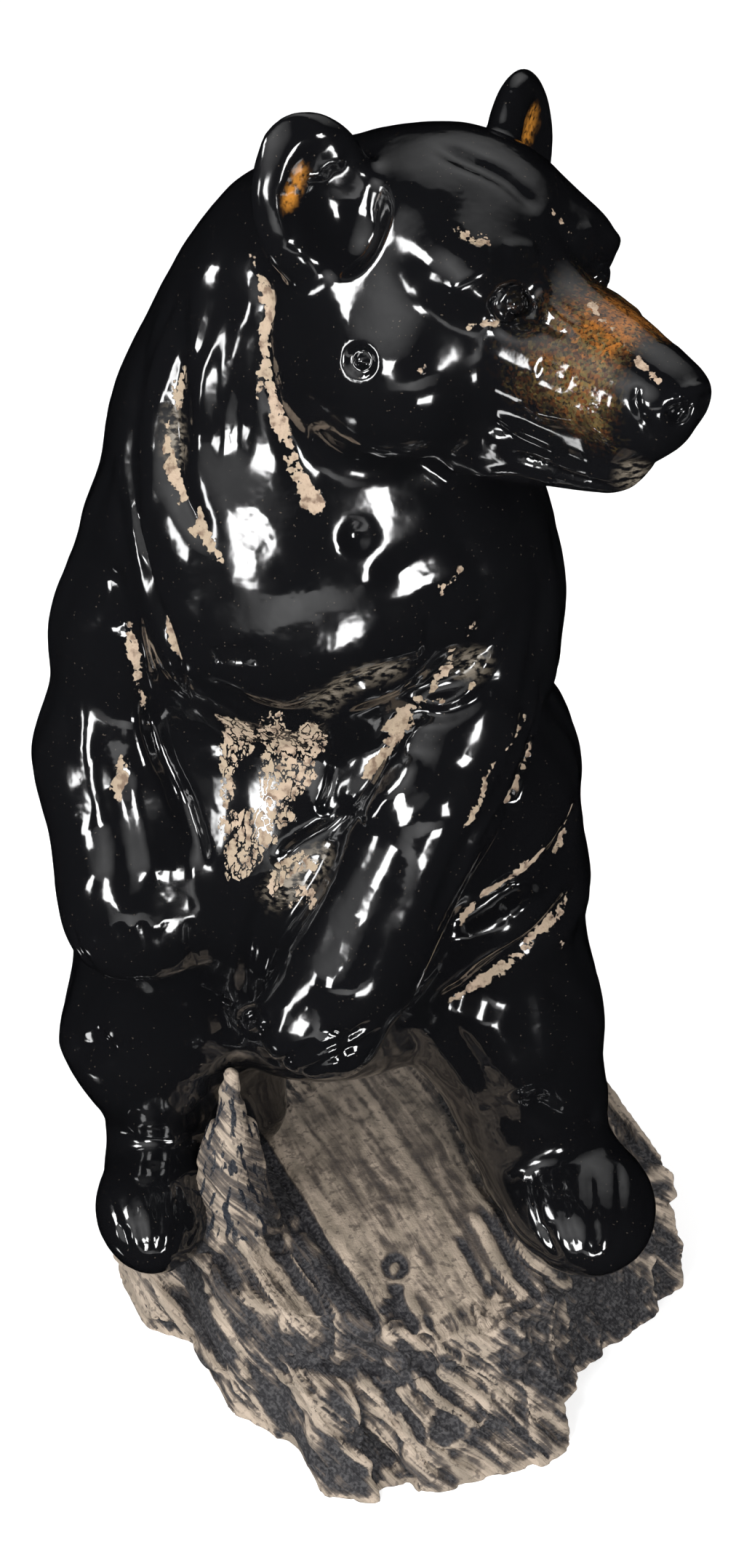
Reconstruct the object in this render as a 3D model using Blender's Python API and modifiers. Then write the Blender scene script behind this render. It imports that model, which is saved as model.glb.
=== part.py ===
"""A standing bear on a weathered rock, made as one glazed ceramic casting.

Metres, +Z up. The chest faces -Y, the head looks round towards +X, and the origin is on the table
under the middle of the figure. The clay is built up from simple masses, fused, smoothed where the
masses meet and then scored with the folds of the coat.
"""

import math

import bmesh
import bpy
import numpy as np
from mathutils import Euler, Matrix, Vector
from mathutils.bvhtree import BVHTree

# Driving dimensions in metres
BEAR_HEIGHT = 0.384
ROCK_HEIGHT = 0.048
ROCK_SHELF = 0.030
ROCK_WIDTH = 0.176
ROCK_LENGTH = 0.193

# The head turns towards the bear's left and leans that way, in degrees
HEAD_TURN = 43.6
HEAD_LEAN = 7.0

# The bear is drawn in units of its own height
BEAR_UNITS = 384.0
HEAD_PLACE = (15, -12, 331)

# How finely the clay is fused and worked, in metres
FIRST_GRID = 0.0034
SECOND_GRID = 0.0024
TRIANGLES = 8400
MOST_PRESS = 0.003

# A point that no mass reaches counts as this far off, and each mass is felt this far past its blend
FAR_AWAY = 1.0
REACH_MARGIN = 0.01

# The grain of the rock runs from the back left to the front right, in degrees from -Y
GRAIN = 23.0

BEAR = "bear_on_rock"


class Ball:
    """An egg-shaped mass of clay."""

    def __init__(self, place, radii, turn=(0, 0, 0), blend=8.0):
        self.place = Vector(place)
        self.radii = Vector(radii)
        self.turn = Euler([math.radians(angle) for angle in turn]).to_matrix()
        self.blend = blend

    def moved(self, matrix, scale=1.0):
        """The same mass carried by a rigid matrix and then scaled."""
        copy = Ball(scale * (matrix @ self.place), scale * self.radii, blend=scale * self.blend)
        copy.turn = matrix.to_3x3() @ self.turn
        return copy

    def reach(self):
        """The middle of the mass and the radius that holds all of it."""
        return np.array(self.place), max(self.radii)

    def depth(self, points):
        """How far each point lies outside the mass, negative inside."""
        local = (points - np.array(self.place)) @ np.array(self.turn)
        radii = np.array(self.radii)
        ratio = np.linalg.norm(local / radii, axis=1)
        slope = np.linalg.norm(local / radii**2, axis=1)
        return ratio * (ratio - 1) / np.maximum(slope, 1e-9)

    def add_to(self, clay):
        """Puts the mass into the rough block."""
        size = Matrix.Diagonal((*self.radii, 1))
        matrix = Matrix.Translation(self.place) @ self.turn.to_4x4() @ size
        bmesh.ops.create_uvsphere(clay, u_segments=24, v_segments=16, radius=1, matrix=matrix)


class Limb:
    """A round mass that runs between two balls of clay."""

    def __init__(self, start, start_radius, end, end_radius, blend=8.0):
        self.start = Vector(start)
        self.end = Vector(end)
        self.start_radius = start_radius
        self.end_radius = end_radius
        self.blend = blend

    def moved(self, matrix, scale=1.0):
        """The same limb carried by a rigid matrix and then scaled."""
        start = scale * (matrix @ self.start)
        end = scale * (matrix @ self.end)
        return Limb(start, scale * self.start_radius, end, scale * self.end_radius, scale * self.blend)

    def reach(self):
        """The middle of the limb and the radius that holds all of it."""
        half = (self.end - self.start).length / 2
        return np.array((self.start + self.end) / 2), half + max(self.start_radius, self.end_radius)

    def depth(self, points):
        """How far each point lies outside the limb, negative inside."""
        axis = np.array(self.end - self.start)
        from_start = points - np.array(self.start)
        along = np.clip(from_start @ axis / (axis @ axis), 0, 1)
        radius = self.start_radius + (self.end_radius - self.start_radius) * along
        return np.linalg.norm(from_start - along[:, None] * axis, axis=1) - radius

    def add_to(self, clay):
        """Puts the limb into the rough block as the skin round its two balls."""
        balls = []
        for place, radius in ((self.start, self.start_radius), (self.end, self.end_radius)):
            matrix = Matrix.Translation(place)
            ball = bmesh.ops.create_uvsphere(clay, u_segments=18, v_segments=12, radius=radius, matrix=matrix)
            balls += ball["verts"]
        skin = bmesh.ops.convex_hull(clay, input=balls)
        bmesh.ops.delete(clay, geom=skin["geom_interior"], context="VERTS")


class Plank:
    """A split length of rock along the grain, whose front end slopes outwards as it goes down.

    The front end is also cut askew: it gains the slant for each metre across the grain.
    """

    def __init__(self, across, half_width, ends, heights, slope, slant, round_edge=0.003, blend=0.0015):
        self.turn = Matrix.Rotation(math.radians(GRAIN), 3, "Z")
        self.across = across
        self.half_width = half_width
        self.front, self.back = ends
        self.floor, self.roof = heights
        self.slope = slope
        self.slant = slant
        self.round_edge = round_edge
        self.blend = blend

    def corner(self, side, front, height):
        """One corner of the plank: side is -1 or 1, and the front leans back as it rises."""
        askew = self.slant * side * self.half_width
        reach = self.front + askew - self.slope * height if front else self.back
        return self.turn @ Vector((self.across + side * self.half_width, -reach, height))

    def reach(self):
        """The middle of the plank and the radius that holds all of it."""
        low = self.corner(-1, False, self.floor)
        high = self.corner(1, True, self.floor)
        middle = (low + high) / 2
        askew = abs(self.slant) * self.half_width
        return np.array(middle), (high - low).length / 2 + self.roof + askew

    def depth(self, points):
        """How far each point lies outside the plank, negative inside."""
        local = points @ np.array(self.turn)
        rise = points[:, 2]
        sideways = local[:, 0] - self.across
        past = self.slope * rise - self.slant * sideways - local[:, 1] - self.front
        ahead = past / math.hypot(1, self.slope, self.slant)
        depth = np.abs(sideways) - self.half_width
        for side in (rise - self.roof, self.floor - rise, self.back + local[:, 1], ahead):
            depth = -smooth_lower(-depth, -side, self.round_edge)
        return depth

    def add_to(self, clay):
        """Puts the plank into the rough block."""
        cube = bmesh.ops.create_cube(clay, size=2)
        for corner in cube["verts"]:
            height = self.roof if corner.co.z > 0 else self.floor
            corner.co = self.corner(corner.co.x, corner.co.y < 0, height)


def head_masses():
    """The head, about its own middle: +X is the bear's left and the nose points along -Y."""
    masses = [
        Ball((0, 3, 1), (41, 42, 39), blend=14),
        Ball((0, -14, 15), (33, 30, 24), blend=12),
        Limb((0, -30, -4.5), 26, (0, -80, -9), 16.5, blend=12),
        Limb((0, -25, -32), 19, (0, -72, -26.5), 11.5, blend=9),
        Ball((0, -90, -4.5), (12.5, 9, 8.5), blend=4),
    ]
    for side in (-1, 1):
        cheek = Ball((side * 22, -6, -13), (20, 30, 28), blend=12)
        brow = Ball((side * 20, -32, 16), (13, 13, 10), blend=9)
        ear = Ball((side * 39.5, 8, 25.5), (17.5, 8.5, 24), turn=(-8, side * 14, side * 22), blend=6)
        masses += [cheek, brow, ear]
    return masses


def head_hollows():
    """What is pressed into the head: the cups of the ears, the eye sockets and the nostrils."""
    hollows = []
    for side in (-1, 1):
        cup = Ball((side * 42, -3, 28), (13, 9, 18), turn=(-8, side * 14, side * 22), blend=4)
        socket = Ball((side * 18.5, -50, 10), (7, 6, 5.5), blend=4)
        nostril = Ball((side * 6, -98.5, -5), (3.2, 4, 2.6), blend=2)
        hollows += [cup, socket, nostril]
    return hollows


def eyes():
    """The eyeballs, which stand in their sockets."""
    return [Ball((side * 17.5, -44.5, 10.5), (4.6, 4.6, 4.6), blend=1.5) for side in (-1, 1)]


def neck_masses():
    """The neck and the bib of loose coat that hangs over the belly."""
    return [
        Ball((-16, 8, 305), (43, 44, 50), blend=16),
        Ball((-27, 14, 262), (51, 48, 60), blend=20),
        Ball((20, -2, 242), (32, 36, 38), blend=20),
        Ball((-19, -10, 240), (56, 44, 50), blend=20),
        Ball((-28, -26, 227), (32, 26, 22), blend=16),
    ]


def trunk_masses():
    """The belly, the back from hump to rump, the flank and the short tail."""
    return [
        Ball((-20, 2, 137), (57, 57, 62), blend=5),
        Ball((-15, 14, 83), (56, 52, 43), blend=20),
        Limb((-12, 24, 272), 42, (-8, 22, 122), 45, blend=26),
        Ball((-17, 10, 194), (56, 46, 66), blend=20),
        Ball((-21, 26, 236), (54, 44, 60), blend=26),
        Ball((40, 12, 150), (24, 40, 36), blend=18),
        Ball((38, 6, 118), (28, 42, 27), turn=(0, -25, 0), blend=13),
        Ball((-10, 66, 98), (10, 12, 13), blend=8),
    ]


def leg_masses():
    """Both hind legs, from the thigh to the foot."""
    return [
        Limb((32, 6, 98), 37, (42, -2, 64), 29.5, blend=10),
        Limb((42, -2, 64), 29.5, (51, -8, 34), 23.5, blend=12),
        Limb((51, -8, 34), 23.5, (55, -12, 12), 21, blend=8),
        Ball((66, -33, 12), (24.5, 32, 18), turn=(0, 0, 16), blend=8),
        Limb((-60, 8, 88), 38, (-72, 2, 53), 28.5, blend=12),
        Limb((-72, 2, 53), 28.5, (-71, -2, 23), 17, blend=12),
        Limb((-71, -2, 23), 17, (-74, -10, -5), 17, blend=8),
        Ball((-72, -30, 8), (19.5, 28, 17.5), turn=(0, 0, -4), blend=8),
        Limb((-52, 14, 50), 22, (-46, 14, 14), 16, blend=8),
    ]


def arm_masses():
    """The right arm hangs at the side, and the left one lies across the belly."""
    return [
        Limb((-68, 6, 237), 20, (-73, 4, 208), 20, blend=12),
        Limb((-73, 4, 208), 21, (-80, -4, 166), 22, blend=18),
        Limb((-80, -4, 166), 22, (-75, -26, 138), 24, blend=16),
        Ball((-72, -34, 126), (24, 20, 19), blend=7),
        Limb((34, 2, 227), 18, (36, -4, 203), 18.5, blend=14),
        Limb((31, -6, 222), 22, (25, -24, 197), 22, blend=12),
        Limb((25, -24, 197), 22, (16, -40, 174), 21, blend=7),
        Limb((16, -40, 174), 21, (-8, -60, 127), 20.5, blend=6),
        Ball((-17, -66, 111), (20, 18, 16), turn=(0, 25, 0), blend=8),
    ]


def root_masses():
    """The pointed splinter of the rock that stands against the inside of the right leg."""
    return [
        Limb((-47, -37, 6), 10.5, (-46.5, -26, 58), 2.6, blend=3),
        Limb((-40, -34, 4), 8, (-42.5, -26, 36), 4.2, blend=3),
        Limb((-54, -36, 2), 8, (-51.5, -28, 36), 4.2, blend=3),
        Limb((-40, -46, -4), 9, (-43, -35, 18), 4, blend=3),
    ]


# Folds scored in the coat or raised from it: the side they are seen from, in degrees from -Y towards
# +X, their route as seen from there (across and up, in bear units), their half-width and their height
FOLDS = (
    (0, ((-34, 341), (-30, 333), (-31, 322), (-29, 305), (-23, 293), (-16, 277)), 4.0, -2.2),
    (-45, ((-29, 344), (-24, 325), (-18, 305), (-11, 288)), 6.0, 1.6),
    (-45, ((-30, 325), (-25, 304), (-24, 292), (-18, 278), (-8, 268), (2, 259)), 4.0, -2.0),
    (-45, ((-40, 321), (-39, 303), (-34, 286), (-25, 270), (-15, 257)), 6.0, 1.6),
    (-45, ((-45, 305), (-46, 290), (-41, 275), (-32, 262), (-24, 247), (-14, 235), (-5, 225)), 4.0, -2.4),
    (-45, ((-46, 269), (-41, 258), (-33, 245), (-29, 228), (-31, 204), (-28, 184), (-19, 171)), 4.0, -2.0),
    (0, ((-54, 225), (-45, 218), (-36, 211), (-25, 208), (-16, 213), (-6, 222), (9, 224), (20, 228)), 5.0, -3.0),
    (0, ((-16, 209), (1, 209), (12, 211), (26, 217), (36, 227), (46, 241)), 4.5, -1.8),
    (0, ((47, 259), (36, 261), (25, 261), (15, 259), (6, 256), (-3, 252)), 6.0, -1.8),
    (0, ((26, 231), (17, 217), (8, 206), (-1, 189), (-10, 174)), 4.5, -2.4),
    (0, ((49, 247), (49, 228), (45, 209), (39, 191), (29, 176), (21, 157), (12, 137)), 3.5, -2.0),
    (0, ((63, 150), (57, 140), (41, 134), (27, 125), (20, 118)), 4.5, -4.0),
    (0, ((65, 122), (57, 120), (41, 109), (28, 94), (17, 87)), 5.0, -5.0),
    (0, ((31, 91), (37, 78), (43, 67), (49, 52)), 8.0, 2.2),
    (0, ((48, 57), (57, 46), (69, 39), (73, 37)), 4.0, -2.4),
    (-45, ((-63, 59), (-50, 64), (-42, 71)), 5.0, -2.2),
    (0, ((-82, 69), (-76, 84), (-69, 97)), 7.0, 2.0),
    (0, ((-56, 101), (-49, 89), (-46, 72)), 4.0, -2.2),
)

# The clefts between fingers and toes: the middle of each paw's knuckles, the step between two clefts,
# and how each cleft runs down from there, in bear units
PAWS = (
    (4, (-70.5, -52, 136), (7.5, 0.5, 0), ((0, 0, 0), (2.5, -3, -9), (6, -1, -19))),
    (4, (-16, -78, 124), (8.5, -2, 0), ((0, 0, 0), (-5, -2, -11), (-4, 1, -20))),
    (4, (-71, -49, 18), (7.0, 1.5, 0), ((0, 0, 0), (0.5, -7, -10))),
    (4, (67.5, -56, 22), (8.5, -1, 0), ((0, 0, 0), (2, -7, -11))),
)
CLEFT_WIDTH = 3.2
CLEFT_DEPTH = 4.2

# The mouth from the front of the lips back to the corner, on one side, about the head's middle
LIPS = ((0, -88, -23), (6, -83, -24), (11, -68, -26), (15, -50, -26), (19, -40, -25))
LIP_WIDTH = 2.6
LIP_DEPTH = 2.2

# The planks of the rock, from left to right across the grain. Each is given how far its foot, its
# upper step and its back reach along the grain, as shares of the rock's length, and the height of
# its top over the shelf as a share of the upper tier
PLANKS = (
    (0.03, 0.01, -0.16, 0.80),
    (0.31, 0.24, -0.31, 0.90),
    (0.50, 0.31, -0.43, 0.97),
    (0.50, 0.36, -0.46, 0.90),
    (0.54, 0.415, -0.47, 1.0),
    (0.545, 0.455, -0.45, 0.98),
    (0.55, 0.465, -0.415, 1.0),
    (0.545, 0.445, -0.39, 0.95),
    (0.435, 0.35, -0.36, 0.98),
    (0.375, 0.295, -0.32, 0.90),
    (0.34, 0.265, -0.26, 0.95),
    (0.315, 0.245, -0.20, 0.85),
    (0.27, 0.20, -0.14, 0.72),
)
PLANK_OVERLAP = 0.001
ROCK_SIDESTEP = 0.005
PLANK_SKEW = 0.5
FOOT_SLOPE = 0.55
STEP_SLOPE = 0.20

# How far down the two tiers are modelled before the table cuts the rock off, in metres
SUNK_FOOT = -0.012
SUNK_STEP = 0.006


def rock_masses():
    """The rock: two tiers of planks along the grain, the upper one set back behind the shelf."""
    width = ROCK_WIDTH / len(PLANKS)
    half = width / 2 + PLANK_OVERLAP
    planks = []
    for number, (foot, step, back, top) in enumerate(PLANKS):
        across = ROCK_SIDESTEP + (number - (len(PLANKS) - 1) / 2) * width
        crown = ROCK_SHELF + (ROCK_HEIGHT - ROCK_SHELF) * top
        left = PLANKS[max(number - 1, 0)]
        right = PLANKS[min(number + 1, len(PLANKS) - 1)]
        gain = PLANK_SKEW * ROCK_LENGTH / (2 * width)
        foot_ends = (foot * ROCK_LENGTH, back * ROCK_LENGTH)
        foot_slant = gain * (right[0] - left[0])
        planks.append(Plank(across, half, foot_ends, (SUNK_FOOT, ROCK_SHELF), FOOT_SLOPE, foot_slant))
        step_ends = (step * ROCK_LENGTH + STEP_SLOPE * crown, back * ROCK_LENGTH)
        step_slant = gain * (right[1] - left[1])
        planks.append(Plank(across, half, step_ends, (SUNK_STEP, crown), STEP_SLOPE, step_slant))
    return planks


def head_matrix():
    """Carries the head from its own middle to its place on the neck."""
    turn = Matrix.Rotation(math.radians(HEAD_TURN), 4, "Z")
    return Matrix.Translation(HEAD_PLACE) @ turn @ Matrix.Rotation(math.radians(HEAD_LEAN), 4, "Y")


def smooth_lower(first, second, blend):
    """The lower of two depths, rounded over where they cross."""
    share = np.maximum(blend - np.abs(first - second), 0) / blend
    return np.minimum(first, second) - share * share * blend / 4


def clay_depth(points, layers):
    """How far each point lies outside the blended figure, negative inside.

    Each layer is a list of masses and whether they are put on or pressed in.
    """
    depth = np.full(len(points), FAR_AWAY)
    for put_on, masses in layers:
        side = 1 if put_on else -1
        for mass in masses:
            middle, radius = mass.reach()
            near = ((points - middle) ** 2).sum(1) < (radius + 2 * mass.blend + REACH_MARGIN) ** 2
            other = mass.depth(points[near])
            depth[near] = side * smooth_lower(side * depth[near], other, mass.blend)
    return np.where(depth < FAR_AWAY / 2, depth, 0)


def vectors(count, collection, field):
    """One vector for each vertex, read from a mesh."""
    flat = np.empty(count * 3, np.float32)
    collection.foreach_get(field, flat)
    return flat.reshape(-1, 3).astype(float)


def move_to(mesh, points):
    """Puts the mesh's vertices where the points are."""
    mesh.vertices.foreach_set("co", points.astype(np.float32).ravel())
    mesh.update()


def mean_around(values, edges):
    """The mean of each vertex's neighbours."""
    count = len(values)
    number = np.bincount(edges.ravel(), minlength=count)
    total = np.empty_like(values)
    for axis in range(3):
        forward = np.bincount(edges[:, 0], values[edges[:, 1], axis], count)
        total[:, axis] = forward + np.bincount(edges[:, 1], values[edges[:, 0], axis], count)
    return total / np.maximum(number, 1)[:, None]


def settle(mesh, layers, rounds):
    """Presses the skin onto the blended masses, and evens it out along itself."""
    edges = np.empty(len(mesh.edges) * 2, np.int32)
    mesh.edges.foreach_get("vertices", edges)
    edges = edges.reshape(-1, 2)
    for number in range(rounds):
        points = vectors(len(mesh.vertices), mesh.vertices, "co")
        normals = vectors(len(mesh.vertices), mesh.vertex_normals, "vector")
        normals += mean_around(normals, edges)
        normals /= np.maximum(np.linalg.norm(normals, axis=1, keepdims=True), 1e-9)
        depth = np.clip(clay_depth(points, layers), -MOST_PRESS, MOST_PRESS)
        points -= normals * depth[:, None]
        if number < rounds - 1:
            slide = (mean_around(points, edges) - points) / 2
            points += slide - normals * (slide * normals).sum(1, keepdims=True)
        move_to(mesh, points)


def fused(mesh, grid):
    """The mesh remade as one closed skin."""
    lump = bpy.data.objects.new("lump", mesh)
    bpy.context.scene.collection.objects.link(lump)
    fuse = lump.modifiers.new("fuse", "REMESH")
    fuse.mode = "VOXEL"
    fuse.voxel_size = grid
    skin = bpy.data.meshes.new_from_object(lump.evaluated_get(bpy.context.evaluated_depsgraph_get()))
    bpy.data.objects.remove(lump)
    return skin


def laid_on(tree, view, route, scale):
    """A route drawn as seen from one side, laid on the surface of the figure."""
    turn = Matrix.Rotation(math.radians(view), 3, "Z")
    laid = []
    for across, height in route:
        start = turn @ Vector((across * scale, -1, height * scale + ROCK_HEIGHT))
        hit = tree.ray_cast(start, turn @ Vector((0, 1, 0)))[0]
        if hit is not None:
            laid.append(hit)
    return laid


def route_distance(points, route):
    """How far each point is from a route."""
    nearest = np.full(len(points), 1.0)
    for start, end in zip(route, route[1:]):
        start = np.array(start)
        run = np.array(end) - start
        along = np.clip((points - start) @ run / (run @ run), 0, 1)
        nearest = np.minimum(nearest, np.linalg.norm(points - start - along[:, None] * run, axis=1))
    return nearest


def scored(mesh, cuts):
    """Scores grooves and raises ridges along their routes."""
    points = vectors(len(mesh.vertices), mesh.vertices, "co")
    normals = vectors(len(mesh.vertices), mesh.vertex_normals, "vector")
    push = np.zeros(len(points))
    for route, width, height in cuts:
        ends = np.array([list(place) for place in route])
        low = ends.min(0) - 3 * width
        high = ends.max(0) + 3 * width
        near = ((points > low) & (points < high)).all(1)
        push[near] += height * np.exp(-((route_distance(points[near], route) / width) ** 2))
    move_to(mesh, points + normals * push[:, None])


def coat_cuts(mesh, scale):
    """Every fold of the coat, cleft of a paw and lip, as routes in the figure's own frame."""
    points = vectors(len(mesh.vertices), mesh.vertices, "co")
    mesh.calc_loop_triangles()
    corners = np.empty(len(mesh.loop_triangles) * 3, np.int32)
    mesh.loop_triangles.foreach_get("vertices", corners)
    tree = BVHTree.FromPolygons([Vector(place) for place in points], corners.reshape(-1, 3).tolist())
    cuts = []
    for view, route, width, height in FOLDS:
        cuts.append((laid_on(tree, view, route, scale), width * scale, height * scale))
    lift = Vector((0, 0, ROCK_HEIGHT))
    for clefts, middle, step, run in PAWS:
        for number in range(clefts):
            start = Vector(middle) + Vector(step) * (number - (clefts - 1) / 2)
            route = [lift + scale * (start + Vector(turn)) for turn in run]
            cuts.append((route, CLEFT_WIDTH * scale, -CLEFT_DEPTH * scale))
    for side in (-1, 1):
        lips = [Vector((side * x, y, z)) for x, y, z in LIPS]
        route = [lift + scale * (head_matrix() @ place) for place in lips]
        cuts.append((route, LIP_WIDTH * scale, -LIP_DEPTH * scale))
    return cuts


def table_cut(mesh):
    """Cuts the rock off flat where it stands on the table."""
    clay = bmesh.new()
    clay.from_mesh(mesh)
    everything = clay.verts[:] + clay.edges[:] + clay.faces[:]
    bmesh.ops.bisect_plane(clay, geom=everything, plane_co=(0, 0, 0), plane_no=(0, 0, 1), clear_inner=True)
    bmesh.ops.holes_fill(clay, edges=[edge for edge in clay.edges if edge.is_boundary], sides=0)
    bmesh.ops.triangulate(clay, faces=clay.faces)
    clay.to_mesh(mesh)
    clay.free()


def centre(mesh):
    """Moves the figure along the table until the origin is under the middle of its box."""
    points = vectors(len(mesh.vertices), mesh.vertices, "co")
    middle = (points.min(0) + points.max(0)) / 2
    middle[2] = 0
    move_to(mesh, points - middle)


def glaze():
    """The near-black gloss glaze that covers the bear."""
    material = bpy.data.materials.new("black glaze")
    material.use_nodes = True
    shader = material.node_tree.nodes["Principled BSDF"]
    shader.inputs["Base Color"].default_value = (0.012, 0.012, 0.013, 1)
    shader.inputs["Roughness"].default_value = 0.12
    shader.inputs["Metallic"].default_value = 0.0
    return material


def build():
    """Models the bear and its rock as one object."""
    for old in list(bpy.data.objects):
        bpy.data.objects.remove(old)
    scale = BEAR_HEIGHT / BEAR_UNITS
    head = head_matrix()
    lift = Matrix.Translation((0, 0, ROCK_HEIGHT / scale))
    bear = [mass.moved(head) for mass in head_masses()]
    bear += neck_masses() + trunk_masses() + leg_masses() + arm_masses() + root_masses()
    masses = rock_masses() + [mass.moved(lift, scale) for mass in bear]
    hollows = [mass.moved(lift @ head, scale) for mass in head_hollows()]
    eyeballs = [mass.moved(lift @ head, scale) for mass in eyes()]
    layers = ((True, masses), (False, hollows), (True, eyeballs))

    clay = bmesh.new()
    for mass in masses + eyeballs:
        mass.add_to(clay)
    rough = bpy.data.meshes.new("rough block")
    clay.to_mesh(rough)
    clay.free()

    skin = fused(rough, FIRST_GRID)
    settle(skin, layers, rounds=5)
    skin = fused(skin, SECOND_GRID)
    settle(skin, layers, rounds=4)
    scored(skin, coat_cuts(skin, scale))
    table_cut(skin)
    centre(skin)
    skin.shade_smooth()
    skin.materials.clear()
    skin.materials.append(glaze())

    figure = bpy.data.objects.new(BEAR, skin)
    group = bpy.data.collections.new("bear figurine")
    bpy.context.scene.collection.children.link(group)
    group.objects.link(figure)
    thin = figure.modifiers.new("fewer faces", "DECIMATE")
    thin.ratio = TRIANGLES / len(skin.polygons)
    return figure


build()
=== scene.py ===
"""A black glazed bear on its weathered rock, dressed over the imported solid.

Metres and +Z up, in the frame of the solid: the chest faces -Y, the head looks round towards +X and
the origin is on the table under the middle of the figure. The clay is built up from simple masses,
as the solid was, then scored and roughened. Its masses are drawn in millimetres about a point on the
rock's top, and most of its marks by the pixels of the photograph that they were seen at.
"""

import logging
import math
from dataclasses import dataclass, replace
from enum import Enum
from itertools import product

import bmesh
import bpy
import numpy as np
from mathutils import Euler, Matrix, Vector
from mathutils.bvhtree import BVHTree


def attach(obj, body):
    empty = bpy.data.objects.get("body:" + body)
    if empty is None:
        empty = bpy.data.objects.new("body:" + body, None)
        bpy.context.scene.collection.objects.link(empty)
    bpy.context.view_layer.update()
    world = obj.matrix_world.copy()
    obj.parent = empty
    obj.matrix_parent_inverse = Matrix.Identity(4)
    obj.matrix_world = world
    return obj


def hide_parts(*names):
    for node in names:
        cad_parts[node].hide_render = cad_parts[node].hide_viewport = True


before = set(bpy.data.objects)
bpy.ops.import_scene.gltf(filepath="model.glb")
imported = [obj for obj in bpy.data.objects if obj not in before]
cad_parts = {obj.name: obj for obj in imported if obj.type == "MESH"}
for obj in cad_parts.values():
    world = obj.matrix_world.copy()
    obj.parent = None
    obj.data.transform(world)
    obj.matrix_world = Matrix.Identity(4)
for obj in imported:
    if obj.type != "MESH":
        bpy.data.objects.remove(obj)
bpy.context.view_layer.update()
LOG = logging.getLogger("bear")

Triple = tuple[float, float, float]
Colour = tuple[float, float, float]
Span = tuple[float, float]
Route = tuple[tuple[float, float], ...]

MM = 0.001

# The middle of a noise or a mark that runs from 0 to 1, and all of it
MIDDLE = 0.5
WHOLE = (0.0, 1.0)

# The rock's top over the table, and where the drawing's own origin stands in the frame, in millimetres
ROCK_TOP = 48.0
STAND = (0.28, 14.96, ROCK_TOP)

# The head's middle, and how far it turns and leans towards the bear's left, in degrees
HEAD_PLACE = (15.0, -12.0, 331.0)
HEAD_TURN = 43.6
HEAD_LEAN = 7.0

# The grain of the rock runs from the back left to the front right, in degrees from -Y
GRAIN = 23.0

# A point that no mass reaches counts as this far off, and each mass is felt this far past its blend
FAR_AWAY = 1000.0
REACH_MARGIN = 10.0

# The grid that a body of clay is fused on, and the finer one that its skin is worked on, in millimetres
FIRST_GRID = 2.4
FINE_GRID = 1.0

# Large odd numbers that mix a cell of the lattice and a seed into a value that looks random
CELL_MIX = (73856093, 19349663, 83492791)
SEED_MIX = 668265263
LAST_MIX = 1274126177

# What keeps a division from being by nothing
TINY = 1e-9


def head_matrix() -> Matrix:
    """Carries the head from its own middle to its place on the neck, in millimetres."""
    turn = Matrix.Rotation(math.radians(HEAD_TURN), 4, "Z")
    lean = Matrix.Rotation(math.radians(HEAD_LEAN), 4, "Y")
    return Matrix.Translation(HEAD_PLACE) @ turn @ lean


def smooth_lower(first: np.ndarray, second: np.ndarray, blend: float) -> np.ndarray:
    """The lower of two depths, rounded over where they cross.

    Args:
        first: One depth for each point.
        second: The other depth.
        blend: How far apart the two may be and still be rounded together.

    Returns:
        The blended depth of each point.
    """
    share = np.maximum(blend - np.abs(first - second), 0) / blend
    return np.minimum(first, second) - share * share * blend / 4


def smooth_step(low: float, high: float, values: np.ndarray) -> np.ndarray:
    """Eases from 0 at the low value to 1 at the high one."""
    share = np.clip((values - low) / (high - low), 0, 1)
    return share * share * (3 - 2 * share)


def lattice_noise(places: np.ndarray, seed: int = 0) -> np.ndarray:
    """Smooth noise that is one lump to each unit of the places.

    Args:
        places: Where to read it, a row of three numbers for each point.
        seed: Which of many noises to read.

    Returns:
        A value from -1 to 1 for each point.
    """
    cell = np.floor(places).astype(np.int64)
    part = places - cell
    ease = part**3 * (part * (part * 6 - 15) + 10)
    total = np.zeros(len(places))
    for corner in product((0, 1), repeat=3):
        key = cell + np.array(corner)
        across, along, up = (key * CELL_MIX).T
        mixed = across ^ along ^ up ^ (seed + 1) * SEED_MIX
        mixed = ((mixed ^ (mixed >> 13)) * LAST_MIX) & 0x7FFFFFFF
        value = ((mixed ^ (mixed >> 15)) & 0xFFFF) / 0x7FFF - 1
        share = np.ones(len(places))
        for axis, side in enumerate(corner):
            share *= ease[:, axis] if side else 1 - ease[:, axis]
        total += share * value
    return total


class Mass:
    """A simple mass of clay, in millimetres."""

    blend: float

    def carried(self, matrix: Matrix) -> "Mass":
        """The same mass carried by a rigid matrix."""
        raise NotImplementedError

    def reach(self) -> tuple[np.ndarray, float]:
        """The middle of the mass and the radius that holds all of it."""
        raise NotImplementedError

    def depth(self, points: np.ndarray) -> np.ndarray:
        """How far each point lies outside the mass, negative inside."""
        raise NotImplementedError

    def add_to(self, clay: bmesh.types.BMesh) -> None:
        """Puts the mass into the rough block."""
        raise NotImplementedError


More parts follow.
